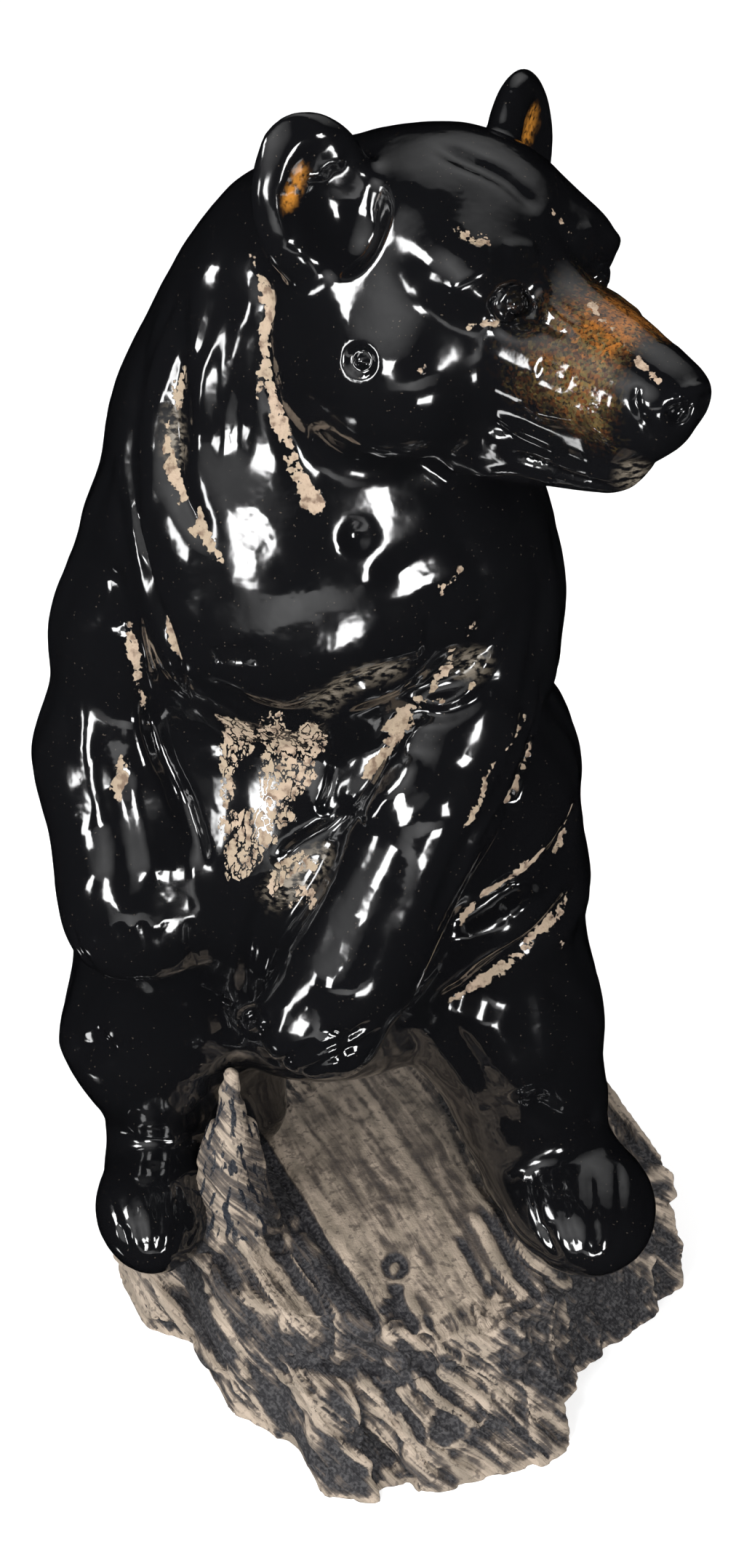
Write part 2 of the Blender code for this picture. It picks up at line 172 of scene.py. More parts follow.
class Ball(Mass):
    """An egg-shaped mass of clay."""

    def __init__(self, place: Triple, radii: Triple, turn: Triple = (0, 0, 0), blend: float = 8.0) -> None:
        """Sets the ball down.

        Args:
            place: Its middle.
            radii: Its half-sizes along its own axes.
            turn: How it is turned about X, Y and Z, in degrees.
            blend: How widely it melts into what is there.
        """
        self.place = Vector(place)
        self.radii = Vector(radii)
        self.turn = Euler([math.radians(angle) for angle in turn]).to_matrix()
        self.blend = blend

    def carried(self, matrix: Matrix) -> "Ball":
        """The same ball carried by a rigid matrix."""
        copy = Ball(matrix @ self.place, self.radii, blend=self.blend)
        copy.turn = matrix.to_3x3() @ self.turn
        return copy

    def reach(self) -> tuple[np.ndarray, float]:
        """The middle of the ball and the radius that holds all of it."""
        return np.array(self.place), max(self.radii)

    def depth(self, points: np.ndarray) -> np.ndarray:
        """How far each point lies outside the ball, negative inside."""
        local = (points - np.array(self.place)) @ np.array(self.turn)
        radii = np.array(self.radii)
        ratio = np.linalg.norm(local / radii, axis=1)
        slope = np.linalg.norm(local / radii**2, axis=1)
        return ratio * (ratio - 1) / np.maximum(slope, TINY)

    def add_to(self, clay: bmesh.types.BMesh) -> None:
        """Puts the ball into the rough block."""
        size = Matrix.Diagonal((*self.radii, 1))
        matrix = Matrix.Translation(self.place) @ self.turn.to_4x4() @ size
        bmesh.ops.create_uvsphere(clay, u_segments=24, v_segments=16, radius=1, matrix=matrix)


class Limb(Mass):
    """A round mass that runs between two balls of clay."""

    def __init__(
        self, start: Triple, start_radius: float, end: Triple, end_radius: float, blend: float = 8.0
    ) -> None:
        """Runs the limb from its start to its end.

        Args:
            start: The middle of the first ball.
            start_radius: The first ball's radius.
            end: The middle of the last ball.
            end_radius: The last ball's radius.
            blend: How widely it melts into what is there.
        """
        self.start = Vector(start)
        self.end = Vector(end)
        self.start_radius = start_radius
        self.end_radius = end_radius
        self.blend = blend

    def carried(self, matrix: Matrix) -> "Limb":
        """The same limb carried by a rigid matrix."""
        return Limb(matrix @ self.start, self.start_radius, matrix @ self.end, self.end_radius, self.blend)

    def reach(self) -> tuple[np.ndarray, float]:
        """The middle of the limb and the radius that holds all of it."""
        half = (self.end - self.start).length / 2
        return np.array((self.start + self.end) / 2), half + max(self.start_radius, self.end_radius)

    def depth(self, points: np.ndarray) -> np.ndarray:
        """How far each point lies outside the limb, negative inside."""
        axis = np.array(self.end - self.start)
        from_start = points - np.array(self.start)
        along = np.clip(from_start @ axis / (axis @ axis), 0, 1)
        radius = self.start_radius + (self.end_radius - self.start_radius) * along
        return np.linalg.norm(from_start - along[:, None] * axis, axis=1) - radius

    def add_to(self, clay: bmesh.types.BMesh) -> None:
        """Puts the limb into the rough block as the skin round its two balls."""
        balls = []
        for place, radius in ((self.start, self.start_radius), (self.end, self.end_radius)):
            matrix = Matrix.Translation(place)
            ball = bmesh.ops.create_uvsphere(clay, u_segments=18, v_segments=12, radius=radius, matrix=matrix)
            balls += ball["verts"]
        skin = bmesh.ops.convex_hull(clay, input=balls)
        bmesh.ops.delete(clay, geom=skin["geom_interior"], context="VERTS")


class Plank(Mass):
    """A split length of rock along the grain, whose front end is askew and slopes out as it goes down."""

    def __init__(
        self,
        across: float,
        half_width: float,
        ends: tuple[float, float],
        heights: tuple[float, float],
        slope: float,
        slant: float,
    ) -> None:
        """Lays the plank down, its heights counted from the table.

        Args:
            across: Where it lies across the grain.
            half_width: Half its width.
            ends: How far its foot and its back reach along the grain.
            heights: Its floor and its roof.
            slope: How far the front leans back for each unit that it rises.
            slant: How far the front gains for each unit across the grain.
        """
        self.turn = Matrix.Rotation(math.radians(GRAIN), 3, "Z")
        self.across = across
        self.half_width = half_width
        self.front, self.back = ends
        self.floor, self.roof = heights
        self.slope = slope
        self.slant = slant
        self.round_edge = 2.6
        self.blend = 1.2

    def corner(self, side: float, front: bool, height: float) -> Vector:
        """One corner of the plank: side is -1 or 1, and the front leans back as it rises."""
        askew = self.slant * side * self.half_width
        reach = self.front + askew - self.slope * height if front else self.back
        place = self.turn @ Vector((self.across + side * self.half_width, -reach, height))
        return place - Vector((0, 0, ROCK_TOP))

    def reach(self) -> tuple[np.ndarray, float]:
        """The middle of the plank and the radius that holds all of it."""
        low = self.corner(-1, False, self.floor)
        high = self.corner(1, True, self.floor)
        askew = abs(self.slant) * self.half_width
        return np.array((low + high) / 2), (high - low).length / 2 + self.roof + askew

    def depth(self, points: np.ndarray) -> np.ndarray:
        """How far each point lies outside the plank, negative inside."""
        local = points @ np.array(self.turn)
        rise = points[:, 2] + ROCK_TOP
        sideways = local[:, 0] - self.across
        past = self.slope * rise - self.slant * sideways - local[:, 1] - self.front
        ahead = past / math.hypot(1, self.slope, self.slant)
        depth = np.abs(sideways) - self.half_width
        for side in (rise - self.roof, self.floor - rise, self.back + local[:, 1], ahead):
            depth = -smooth_lower(-depth, -side, self.round_edge)
        return depth

    def add_to(self, clay: bmesh.types.BMesh) -> None:
        """Puts the plank into the rough block."""
        cube = bmesh.ops.create_cube(clay, size=2)
        for corner in cube["verts"]:
            height = self.roof if corner.co.z > 0 else self.floor
            corner.co = self.corner(corner.co.x, corner.co.y < 0, height)


@dataclass
class Clay:
    """A body of clay: layers of masses, each put on or pressed in, in millimetres."""

    layers: list[tuple[bool, list[Mass]]]

    def depth(self, points: np.ndarray) -> np.ndarray:
        """How far each point lies outside the blended body, negative inside."""
        depth = np.full(len(points), FAR_AWAY)
        for put_on, masses in self.layers:
            side = 1 if put_on else -1
            for mass in masses:
                middle, radius = mass.reach()
                limit = radius + 2 * mass.blend + REACH_MARGIN
                near = ((points - middle) ** 2).sum(1) < limit**2
                other = mass.depth(points[near])
                depth[near] = side * smooth_lower(side * depth[near], other, mass.blend)
        return np.where(depth < FAR_AWAY / 2, depth, 0)

    def rough(self) -> bpy.types.Mesh:
        """The rough block: everything that is put on, not yet fused."""
        clay = bmesh.new()
        for put_on, masses in self.layers:
            for mass in masses:
                if put_on:
                    mass.add_to(clay)
        mesh = bpy.data.meshes.new("rough block")
        clay.to_mesh(mesh)
        clay.free()
        return mesh


def mesh_rows(collection: bpy.types.bpy_prop_collection, name: str, width: int, kind: type) -> np.ndarray:
    """Reads one property of a mesh as rows of numbers.

    Args:
        collection: The mesh's vertices, edges or the like.
        name: The property.
        width: How many numbers a row holds.
        kind: The numpy type that Blender keeps them in.

    Returns:
        The rows.
    """
    flat = np.empty(len(collection) * width, kind)
    collection.foreach_get(name, flat)
    return flat.reshape(-1, width)


def with_modifier(mesh: bpy.types.Mesh, kind: str, **settings: object) -> bpy.types.Mesh:
    """The mesh after one modifier.

    Args:
        mesh: The mesh to start from.
        kind: The modifier's type.
        **settings: The modifier's own values.

    Returns:
        A new mesh.
    """
    lump = bpy.data.objects.new("lump", mesh)
    bpy.context.scene.collection.objects.link(lump)
    modifier = lump.modifiers.new("work", kind)
    for name, value in settings.items():
        setattr(modifier, name, value)
    graph = bpy.context.evaluated_depsgraph_get()
    made = bpy.data.meshes.new_from_object(lump.evaluated_get(graph))
    bpy.data.objects.remove(lump)
    return made


class Skin:
    """The skin of a body of clay, worked as arrays of points."""

    def __init__(self, mesh: bpy.types.Mesh) -> None:
        """Takes up a mesh in millimetres."""
        self.mesh = mesh
        self.edges = mesh_rows(mesh.edges, "vertices", 2, np.int32)

    @property
    def points(self) -> np.ndarray:
        """Where the vertices are."""
        return mesh_rows(self.mesh.vertices, "co", 3, np.float32).astype(float)

    @property
    def normals(self) -> np.ndarray:
        """Which way the skin faces at each vertex."""
        return mesh_rows(self.mesh.vertex_normals, "vector", 3, np.float32).astype(float)

    def move(self, points: np.ndarray) -> None:
        """Puts the vertices where the points are."""
        self.mesh.vertices.foreach_set("co", points.astype(np.float32).ravel())
        self.mesh.update()

    def push(self, amounts: np.ndarray) -> None:
        """Raises each vertex from the skin by its own amount."""
        self.move(self.points + self.normals * amounts[:, None])

    def evened(self, values: np.ndarray) -> np.ndarray:
        """The mean of each vertex's neighbours."""
        count = len(values)
        number = np.bincount(self.edges.ravel(), minlength=count)
        total = np.empty_like(values)
        for axis in range(values.shape[1]):
            forward = np.bincount(self.edges[:, 0], values[self.edges[:, 1], axis], count)
            total[:, axis] = forward + np.bincount(self.edges[:, 1], values[self.edges[:, 0], axis], count)
        return total / np.maximum(number, 1)[:, None]

    def settle(self, clay: Clay, rounds: int, most: float = 3.0) -> None:
        """Presses the skin onto the blended masses, and evens it out along itself.

        Args:
            clay: The masses.
            rounds: How many times.
            most: How far a vertex may move in one round, in millimetres.
        """
        for number in range(rounds):
            points = self.points
            normals = self.normals
            normals += self.evened(normals)
            normals /= np.maximum(np.linalg.norm(normals, axis=1, keepdims=True), TINY)
            depth = np.clip(clay.depth(points), -most, most)
            points -= normals * depth[:, None]
            if number < rounds - 1:
                slide = (self.evened(points) - points) / 2
                points += slide - normals * (slide * normals).sum(1, keepdims=True)
            self.move(points)

    def cavity(self, rounds: int) -> np.ndarray:
        """How far the skin lies below its own evened-out form at each vertex, in millimetres."""
        points = self.points
        even = points
        for _ in range(rounds):
            even = self.evened(even)
        return ((even - points) * self.normals).sum(1)

    def tree(self) -> BVHTree:
        """The skin as something that a ray can be cast on, in millimetres."""
        self.mesh.calc_loop_triangles()
        corners = mesh_rows(self.mesh.loop_triangles, "vertices", 3, np.int32)
        return BVHTree.FromPolygons([Vector(place) for place in self.points], corners.tolist())


def route_nearness(points: np.ndarray, route: np.ndarray) -> tuple[np.ndarray, np.ndarray]:
    """How near each point is to a route.

    Args:
        points: The points.
        route: The route's own points, in order.

    Returns:
        How far each point is from the route, and how far along it, from 0 to its count less 1.
    """
    nearest = np.full(len(points), FAR_AWAY)
    place = np.zeros(len(points))
    for number, (start, end) in enumerate(zip(route, route[1:])):
        run = end - start
        along = np.clip((points - start) @ run / max(run @ run, TINY), 0, 1)
        away = np.linalg.norm(points - start - along[:, None] * run, axis=1)
        closer = away < nearest
        nearest[closer] = away[closer]
        place[closer] = number + along[closer]
    return nearest, place


def curve_through(route: np.ndarray, steps: int = 4) -> np.ndarray:
    """A smooth curve through a route's points.

    Args:
        route: The route, a row for each point and as many numbers a row as it needs.
        steps: How many points each stretch is given.

    Returns:
        The curve's points.
    """
    if len(route) < 3:
        return route
    padded = np.vstack([2 * route[0] - route[1], route, 2 * route[-1] - route[-2]])
    curve = []
    for first, second, third, fourth in zip(padded, padded[1:], padded[2:], padded[3:]):
        for step in range(steps):
            share = step / steps
            bend = 2 * first - 5 * second + 4 * third - fourth
            turn = 3 * second - first - 3 * third + fourth
            curve.append(second + 0.5 * share * (third - first + share * (bend + share * turn)))
    curve.append(route[-1])
    return np.array(curve)


def beside(points: np.ndarray, route: np.ndarray, margin: float) -> np.ndarray:
    """Which points lie in the box round a route, widened by a margin."""
    return ((points > route.min(0) - margin) & (points < route.max(0) + margin)).all(1)


@dataclass(frozen=True)
class Lumps:
    """Smooth unevenness: a lump's size in all or along each axis, which of many it is, and its height."""

    size: float | Triple
    seed: int
    height: float = 1.0

    def at(self, points: np.ndarray) -> np.ndarray:
        """How far it stands off at each point."""
        return self.height * lattice_noise(points / self.size, self.seed)


@dataclass(frozen=True)
class Photo:
    """The camera that took the photograph, in the drawing's own millimetres."""

    width: float = 1034.0
    height: float = 2157.0
    eye: Triple = (0.0, -829.0, 711.0)
    pitch: float = 33.95
    focal: float = 4431.0
    sensor: float = 36.0

    def axes(self) -> tuple[np.ndarray, np.ndarray, np.ndarray]:
        """Which ways the camera's right, its up and its view point."""
        pitch = math.radians(self.pitch)
        up = np.array([0.0, math.sin(pitch), math.cos(pitch)])
        ahead = np.array([0.0, math.cos(pitch), -math.sin(pitch)])
        return np.array([1.0, 0.0, 0.0]), up, ahead

    def rays(self, pixels: np.ndarray) -> np.ndarray:
        """The direction from the eye through each pixel.

        Args:
            pixels: A row for each pixel: across from the left, and down from the top.

        Returns:
            A unit direction for each pixel.
        """
        right, up, ahead = self.axes()
        across = (pixels[:, 0] - self.width / 2) / self.focal
        down = (pixels[:, 1] - self.height / 2) / self.focal
        rays = ahead + across[:, None] * right - down[:, None] * up
        return rays / np.linalg.norm(rays, axis=1, keepdims=True)

    def pixels(self, points: np.ndarray) -> np.ndarray:
        """The pixel that each point is seen at."""
        right, up, ahead = self.axes()
        away = points - np.array(self.eye)
        depth = away @ ahead
        across = self.width / 2 + self.focal * (away @ right) / depth
        down = self.height / 2 - self.focal * (away @ up) / depth
        return np.stack([across, down], axis=1)

    def camera(self) -> bpy.types.Object:
        """Makes the camera and looks through it."""
        lens = bpy.data.cameras.new("photo camera")
        lens.sensor_width = self.sensor
        lens.lens = self.focal / self.height * self.sensor
        camera = bpy.data.objects.new("photo camera", lens)
        camera.location = MM * (Vector(self.eye) + Vector(STAND))
        camera.rotation_euler = (math.radians(90 - self.pitch), 0, 0)
        bpy.context.scene.collection.objects.link(camera)
        bpy.context.scene.camera = camera
        return camera


PHOTO = Photo()

# How many pixels of the photograph a millimetre takes on the figure
PIXELS_PER_MM = 3.9

# How many stretches a round route has
RING_STEPS = 12

# How far to each side a stroke is felt, in its own widths, and the share of its length that an end fades over
STROKE_REACH = 3.0
STROKE_FADE = 0.22

# A fan's strokes differ in height: its middle share, how far it swings, and its turn from each to the next
FAN_STRENGTH = 0.75
FAN_SWING = 0.25
FAN_TURN = 2.4

# The half-width that a tear keeps where its route gives less
THINNEST_TEAR = 0.3


@dataclass(frozen=True)
class Stroke:
    """A groove or a ridge in the clay, by its route as seen from one side.

    The route is in pixels of the photograph, or in millimetres across and up where a view is given,
    in degrees from -Y towards +X. Widths and heights are in millimetres, and a groove's height is
    below nothing.
    """

    route: Route
    width: float
    height: float
    view: float | None = None
    mirrored: bool = False


@dataclass(frozen=True)
class Fan:
    """Strokes spread evenly from a first route to a last one of as many points."""

    first: Route
    last: Route
    count: int
    width: float
    height: float
    view: float | None = None

    def strokes(self) -> list[Stroke]:
        """The fan's strokes, each a little stronger or weaker than the next."""
        made = []
        for number in range(self.count):
            share = number / (self.count - 1)
            route = np.array(self.first) * (1 - share) + np.array(self.last) * share
            strength = FAN_STRENGTH + FAN_SWING * math.cos(FAN_TURN * number)
            made.append(Stroke(tuple(map(tuple, route)), self.width, self.height * strength, self.view))
        return made


@dataclass(frozen=True)
class Tear:
    """A place where the glaze has drawn back from the clay: pixels and half-widths in pixels."""

    route: tuple[Triple, ...]
    view: float | None = None


def tears_along(routes: tuple[tuple[Triple, ...], ...], view: float | None = None) -> tuple[Tear, ...]:
    """A tear along each route: pixels and half-widths in pixels, or millimetres where a view is given."""
    return tuple(Tear(route, view) for route in routes)


def ring(across: float, down: float, radius: float, squash: float = 1.0) -> Route:
    """A closed round route.

    Args:
        across: The middle's pixel from the left.
        down: The middle's pixel from the top.
        radius: The radius in pixels.
        squash: How much lower than wide the ring is.

    Returns:
        The route.
    """
    route = []
    for step in range(RING_STEPS + 1):
        turn = 2 * math.pi * step / RING_STEPS
        route.append((across + radius * math.cos(turn), down + squash * radius * math.sin(turn)))
    return tuple(route)


class Surface:
    """The figure's surface, as something that a route can be laid on."""

    def __init__(self, tree: BVHTree) -> None:
        """Takes the surface's tree, in millimetres."""
        self.tree = tree

    def cast(self, starts: np.ndarray, ways: np.ndarray) -> np.ndarray:
        """Where rays meet the surface first; those that miss are left out.

        Args:
            starts: Where each ray starts.
            ways: Which way each ray goes.

        Returns:
            The places that were hit.
        """
        laid = []
        for start, way in zip(starts, ways):
            hit = self.tree.ray_cast(Vector(start), Vector(way))[0]
            if hit is not None:
                laid.append(hit)
        return np.array(laid).reshape(-1, 3)

    def lay(self, route: np.ndarray, view: float | None) -> np.ndarray:
        """Lays a route on the surface.

        Args:
            route: Pixels, or places across and up as seen from the view, or places in space already.
            view: The side it is seen from, or None for the photograph.

        Returns:
            The route's places on the surface.
        """
        if route.shape[1] == 3:
            return route
        if view is None:
            ways = PHOTO.rays(route)
            return self.cast(np.tile(PHOTO.eye, (len(route), 1)), ways)
        turn = np.array(Matrix.Rotation(math.radians(view), 3, "Z"))
        starts = np.stack([route[:, 0], np.full(len(route), -FAR_AWAY), route[:, 1]], axis=1) @ turn.T
        return self.cast(starts, np.tile(turn @ np.array([0.0, 1.0, 0.0]), (len(route), 1)))

    def mirrored(self, places: np.ndarray) -> np.ndarray:
        """The same places on the other side of the head, back on the surface."""
        head = head_matrix()
        found = []
        for place in places:
            local = head.inverted() @ Vector(place)
            local.x = -local.x
            found.append(self.tree.find_nearest(head @ local)[0])
        return np.array(found).reshape(-1, 3)


def stroke_heights(points: np.ndarray, surface: Surface, strokes: list[Stroke]) -> np.ndarray:
    """How high all strokes together raise each point, each stroke fading out towards its ends.

    Args:
        points: The points.
        surface: The surface that the routes are laid on.
        strokes: The strokes.

    Returns:
        The height at each point, below nothing in a groove.
    """
    push = np.zeros(len(points))
    for stroke in strokes:
        laid = surface.lay(curve_through(np.array(stroke.route)), stroke.view)
        if len(laid) < 2:
            continue
        closed = stroke.route[0] == stroke.route[-1]
        routes = [laid, surface.mirrored(laid)] if stroke.mirrored else [laid]
        for route in routes:
            near = beside(points, route, STROKE_REACH * stroke.width)
            away, place = route_nearness(points[near], route)
            share = place / (len(route) - 1)
            fade = 1.0 if closed else smooth_step(0, STROKE_FADE, np.minimum(share, 1 - share))
            push[near] += stroke.height * fade * np.exp(-((away / stroke.width) ** 2))
    return push


def nearness_mask(points: np.ndarray, surface: Surface, tears: tuple[Tear, ...], edge: float) -> np.ndarray:
    """How far inside a tear each point is: a half at its edge, and 0 or 1 well out or in.

    Args:
        points: The points.
        surface: The surface that the routes are laid on.
        tears: The tears.
        edge: How many millimetres the mask takes from 0 to 1.

    Returns:
        The mask.
    """
    mask = np.zeros(len(points))
    for tear in tears:
        curve = curve_through(np.array(tear.route))
        laid = []
        widths = []
        for spot in curve:
            place = surface.lay(spot[None, :2], tear.view)
            if len(place):
                laid.append(place[0])
                widths.append(max(spot[2], THINNEST_TEAR))
        if len(laid) < 2:
            continue
        route = np.array(laid)
        half = np.array(widths) / (PIXELS_PER_MM if tear.view is None else 1.0)
        near = beside(points, route, half.max() + edge)
        away, place = route_nearness(points[near], route)
        width = np.interp(place, np.arange(len(half)), half)
        mask[near] = np.maximum(mask[near], np.clip(MIDDLE + (width - away) / edge, 0, 1))
    return mask


def inside_outline(pixels: np.ndarray, outline: Route, edge: float) -> np.ndarray:
    """How far inside an outline each pixel is, from 0 outside to 1 an edge's width within.

    Args:
        pixels: The pixels.
        outline: The outline's corners.
        edge: The edge's width in pixels.

    Returns:
        The mask.
    """
    corners = np.array(outline, float)
    inside = np.zeros(len(pixels), bool)
    nearest = np.full(len(pixels), np.inf)
    for start, end in zip(corners, np.roll(corners, -1, axis=0)):
        run = end - start
        above = (start[1] > pixels[:, 1]) != (end[1] > pixels[:, 1])
        drop = run[1] if abs(run[1]) > TINY else TINY
        crossing = start[0] + (pixels[:, 1] - start[1]) * run[0] / drop
        inside ^= above & (pixels[:, 0] < crossing)
        along = np.clip((pixels - start) @ run / (run @ run), 0, 1)
        nearest = np.minimum(nearest, np.linalg.norm(pixels - start - along[:, None] * run, axis=1))
    return np.where(inside, np.clip(nearest / edge, 0, 1), 0)


def modelled(clay: Clay) -> tuple[Skin, Surface]:
    """Fuses a body of clay into one skin.

    Args:
        clay: The body.

    Returns:
        The skin, and the smooth surface that routes are laid on.
    """
    skin = Skin(with_modifier(clay.rough(), "REMESH", mode="VOXEL", voxel_size=FIRST_GRID))
    skin.settle(clay, rounds=5)
    surface = Surface(skin.tree())
    skin = Skin(with_modifier(skin.mesh, "REMESH", mode="VOXEL", voxel_size=FINE_GRID))
    skin.settle(clay, rounds=3, most=1.5)
    return skin, surface


def thinned(skin: Skin, triangles: int) -> Skin:
    """The skin with about so many triangles, or as it is where it has fewer."""
    ratio = triangles / (2 * len(skin.mesh.polygons))
    return Skin(with_modifier(skin.mesh, "DECIMATE", ratio=min(ratio, 1.0)))


@dataclass(frozen=True)
class Bear:
    """The glazed bear, from the ears to the feet."""

    name: str = "glazed_bear"
    triangles: int = 190000
    eye_place: Triple = (17.5, -44.5, 10.5)
    eye_radius: float = 4.6
    tear_edge: float = 2.4
    haze_edge: float = 7.2

    # How the coat is worked by hand, and how much finer the ears' cups and the paws are, round their middles
    unevenness: tuple[Lumps, ...] = (
        Lumps(31, 0, 0.75), Lumps(17, 1, 0.34), Lumps(8, 2, 0.14), Lumps(3.4, 3, 0.045),
    )
    pitted_size: float = 2.6
    pitted_height: float = 0.13
    pitted_span: Span = (8.0, 20.0)
    ear_cup: Triple = (42.0, -3.0, 27.0)
    paws: tuple[Triple, ...] = ((-72, -40, 124), (-17, -70, 111), (-72, -48, 8), (66, -52, 12))

    # The muzzle's ridge about the head's middle, how it falls forward, and where the rust comes and goes
    ridge_place: tuple[float, float] = (45.0, 8.0)
    ridge_fall: float = 0.10
    rust_start: Span = (36.0, 80.0)
    rust_start_lean: float = 0.10
    rust_end: Span = (75.0, 89.0)
    rust_end_lean: float = -0.2
    rust_drop: Span = (8.0, 34.0)
    orange_start: Span = (48.0, 70.0)
    orange_end: Span = (74.0, 86.0)
    orange_drop: Span = (0.0, 22.0)
    orange_side: Span = (3.0, 22.0)

    # The amber in the ears: its routes in pixels, its radii, and the share of a radius that is full amber
    amber_routes: tuple[Route, ...] = (
        ((412, 240), (404, 262), (396, 276)),
        ((730, 160), (728, 172), (724, 184)),
    )
    amber_radii: tuple[float, float] = (3.4, 4.8)
    amber_core: float = 0.25

    def ear_turn(self, side: int) -> Triple:
        """How an ear and its cup are turned, in degrees; the side is -1 or 1."""
        return -8, side * 14, side * 22

    def head(self) -> list[Mass]:
        """The head about its own middle: +X is the bear's left and the nose points along -Y."""
        masses = [
            Ball((0, 3, 1), (41, 42, 39), blend=14),
            Ball((0, -14, 15), (33, 30, 24), blend=12),
            Limb((0, -30, -4.5), 26, (0, -80, -9), 16.5, blend=12),
            Limb((0, -25, -32), 19, (0, -72, -26.5), 11.5, blend=9),
            Ball((0, -90, -4.5), (12.5, 9, 8.5), blend=4),
        ]
        for side in (-1, 1):
            masses.append(Ball((side * 22, -6, -13), (20, 30, 28), blend=12))
            masses.append(Ball((side * 27, -12, -17), (20, 27, 25), blend=10))
            masses.append(Ball((side * 20, -32, 16), (13, 13, 10), blend=9))
            masses.append(Ball((side * 39.5, 8, 25.5), (17.5, 8.5, 24), turn=self.ear_turn(side), blend=6))
        return masses

    def hollows(self) -> list[Mass]:
        """What is pressed into the head: the cups of the ears, the eye sockets and the nostrils."""
        hollows = []
        for side in (-1, 1):
            hollows.append(Ball((side * 42, -3, 28), (13, 9, 18), turn=self.ear_turn(side), blend=4))
            hollows.append(Ball((side * 18.5, -50, 10), (7, 6, 5.5), blend=4))
            hollows.append(Ball((side * 6, -98.5, -5), (3.2, 4, 2.6), blend=2))
        return hollows

    def eyes(self) -> list[Mass]:
        """The eyeballs, which stand in their sockets."""
        across, back, up = self.eye_place
        size = (self.eye_radius,) * 3
        return [Ball((side * across, back, up), size, blend=0.6) for side in (-1, 1)]

    def trunk(self) -> list[Mass]:
        """The neck, the bib of loose coat, the belly, the back, the flank and the short tail."""
        return [
            Ball((-16, 8, 305), (43, 44, 50), blend=16),
            Ball((-27, 14, 262), (51, 48, 60), blend=20),
            Ball((20, -2, 242), (32, 36, 38), blend=20),
            Ball((-19, -10, 240), (56, 44, 50), blend=20),
            Ball((-28, -26, 227), (32, 26, 22), blend=16),
            Ball((-20, 2, 137), (57, 57, 62), blend=5),
            Ball((-15, 14, 83), (56, 52, 43), blend=20),
            Limb((-12, 24, 272), 42, (-8, 22, 122), 45, blend=26),
            Ball((-17, 10, 194), (56, 46, 66), blend=20),
            Ball((-21, 26, 236), (54, 44, 60), blend=26),
            Ball((40, 12, 150), (24, 40, 36), blend=18),
            Ball((38, 6, 118), (28, 42, 27), turn=(0, -25, 0), blend=13),
            Ball((-10, 66, 98), (10, 12, 13), blend=8),
        ]

    def legs(self) -> list[Mass]:
        """Both hind legs, from the thigh to the foot."""
        return [
            Limb((32, 6, 98), 37, (42, -2, 64), 29.5, blend=10),
            Limb((42, -2, 64), 29.5, (51, -8, 34), 23.5, blend=12),
            Limb((51, -8, 34), 23.5, (55, -12, 12), 21, blend=8),
            Ball((66, -33, 12), (24.5, 32, 18), turn=(0, 0, 16), blend=8),
            Limb((-60, 8, 88), 38, (-72, 2, 53), 28.5, blend=12),
            Limb((-72, 2, 53), 28.5, (-71, -2, 23), 17, blend=12),
            Limb((-71, -2, 23), 17, (-74, -10, -5), 17, blend=8),
            Ball((-72, -30, 8), (19.5, 28, 17.5), turn=(0, 0, -4), blend=8),
            Limb((-52, 14, 50), 22, (-46, 14, 14), 16, blend=8),
        ]

    def arms(self) -> list[Mass]:
        """The right arm hangs at the side, and the left one lies across the belly."""
        return [
            Limb((-68, 6, 237), 20, (-73, 4, 208), 20, blend=12),
            Limb((-73, 4, 208), 21, (-80, -4, 166), 22, blend=18),
            Limb((-80, -4, 166), 22, (-75, -26, 138), 24, blend=16),
            Ball((-72, -34, 126), (24, 20, 19), blend=7),
            Limb((34, 2, 227), 18, (36, -4, 203), 18.5, blend=14),
            Limb((31, -6, 222), 22, (25, -24, 197), 22, blend=12),
            Limb((25, -24, 197), 22, (16, -40, 174), 21, blend=7),
            Limb((16, -40, 174), 21, (-8, -60, 127), 20.5, blend=6),
            Ball((-17, -66, 111), (20, 18, 16), turn=(0, 25, 0), blend=8),
        ]

    def clay(self) -> Clay:
        """The whole bear as layers of masses."""
        head = head_matrix()
        solid = [mass.carried(head) for mass in self.head()] + self.trunk() + self.legs() + self.arms()
        hollows = [mass.carried(head) for mass in self.hollows()]
        eyes = [mass.carried(head) for mass in self.eyes()]
        return Clay([(True, solid), (False, hollows), (True, eyes)])

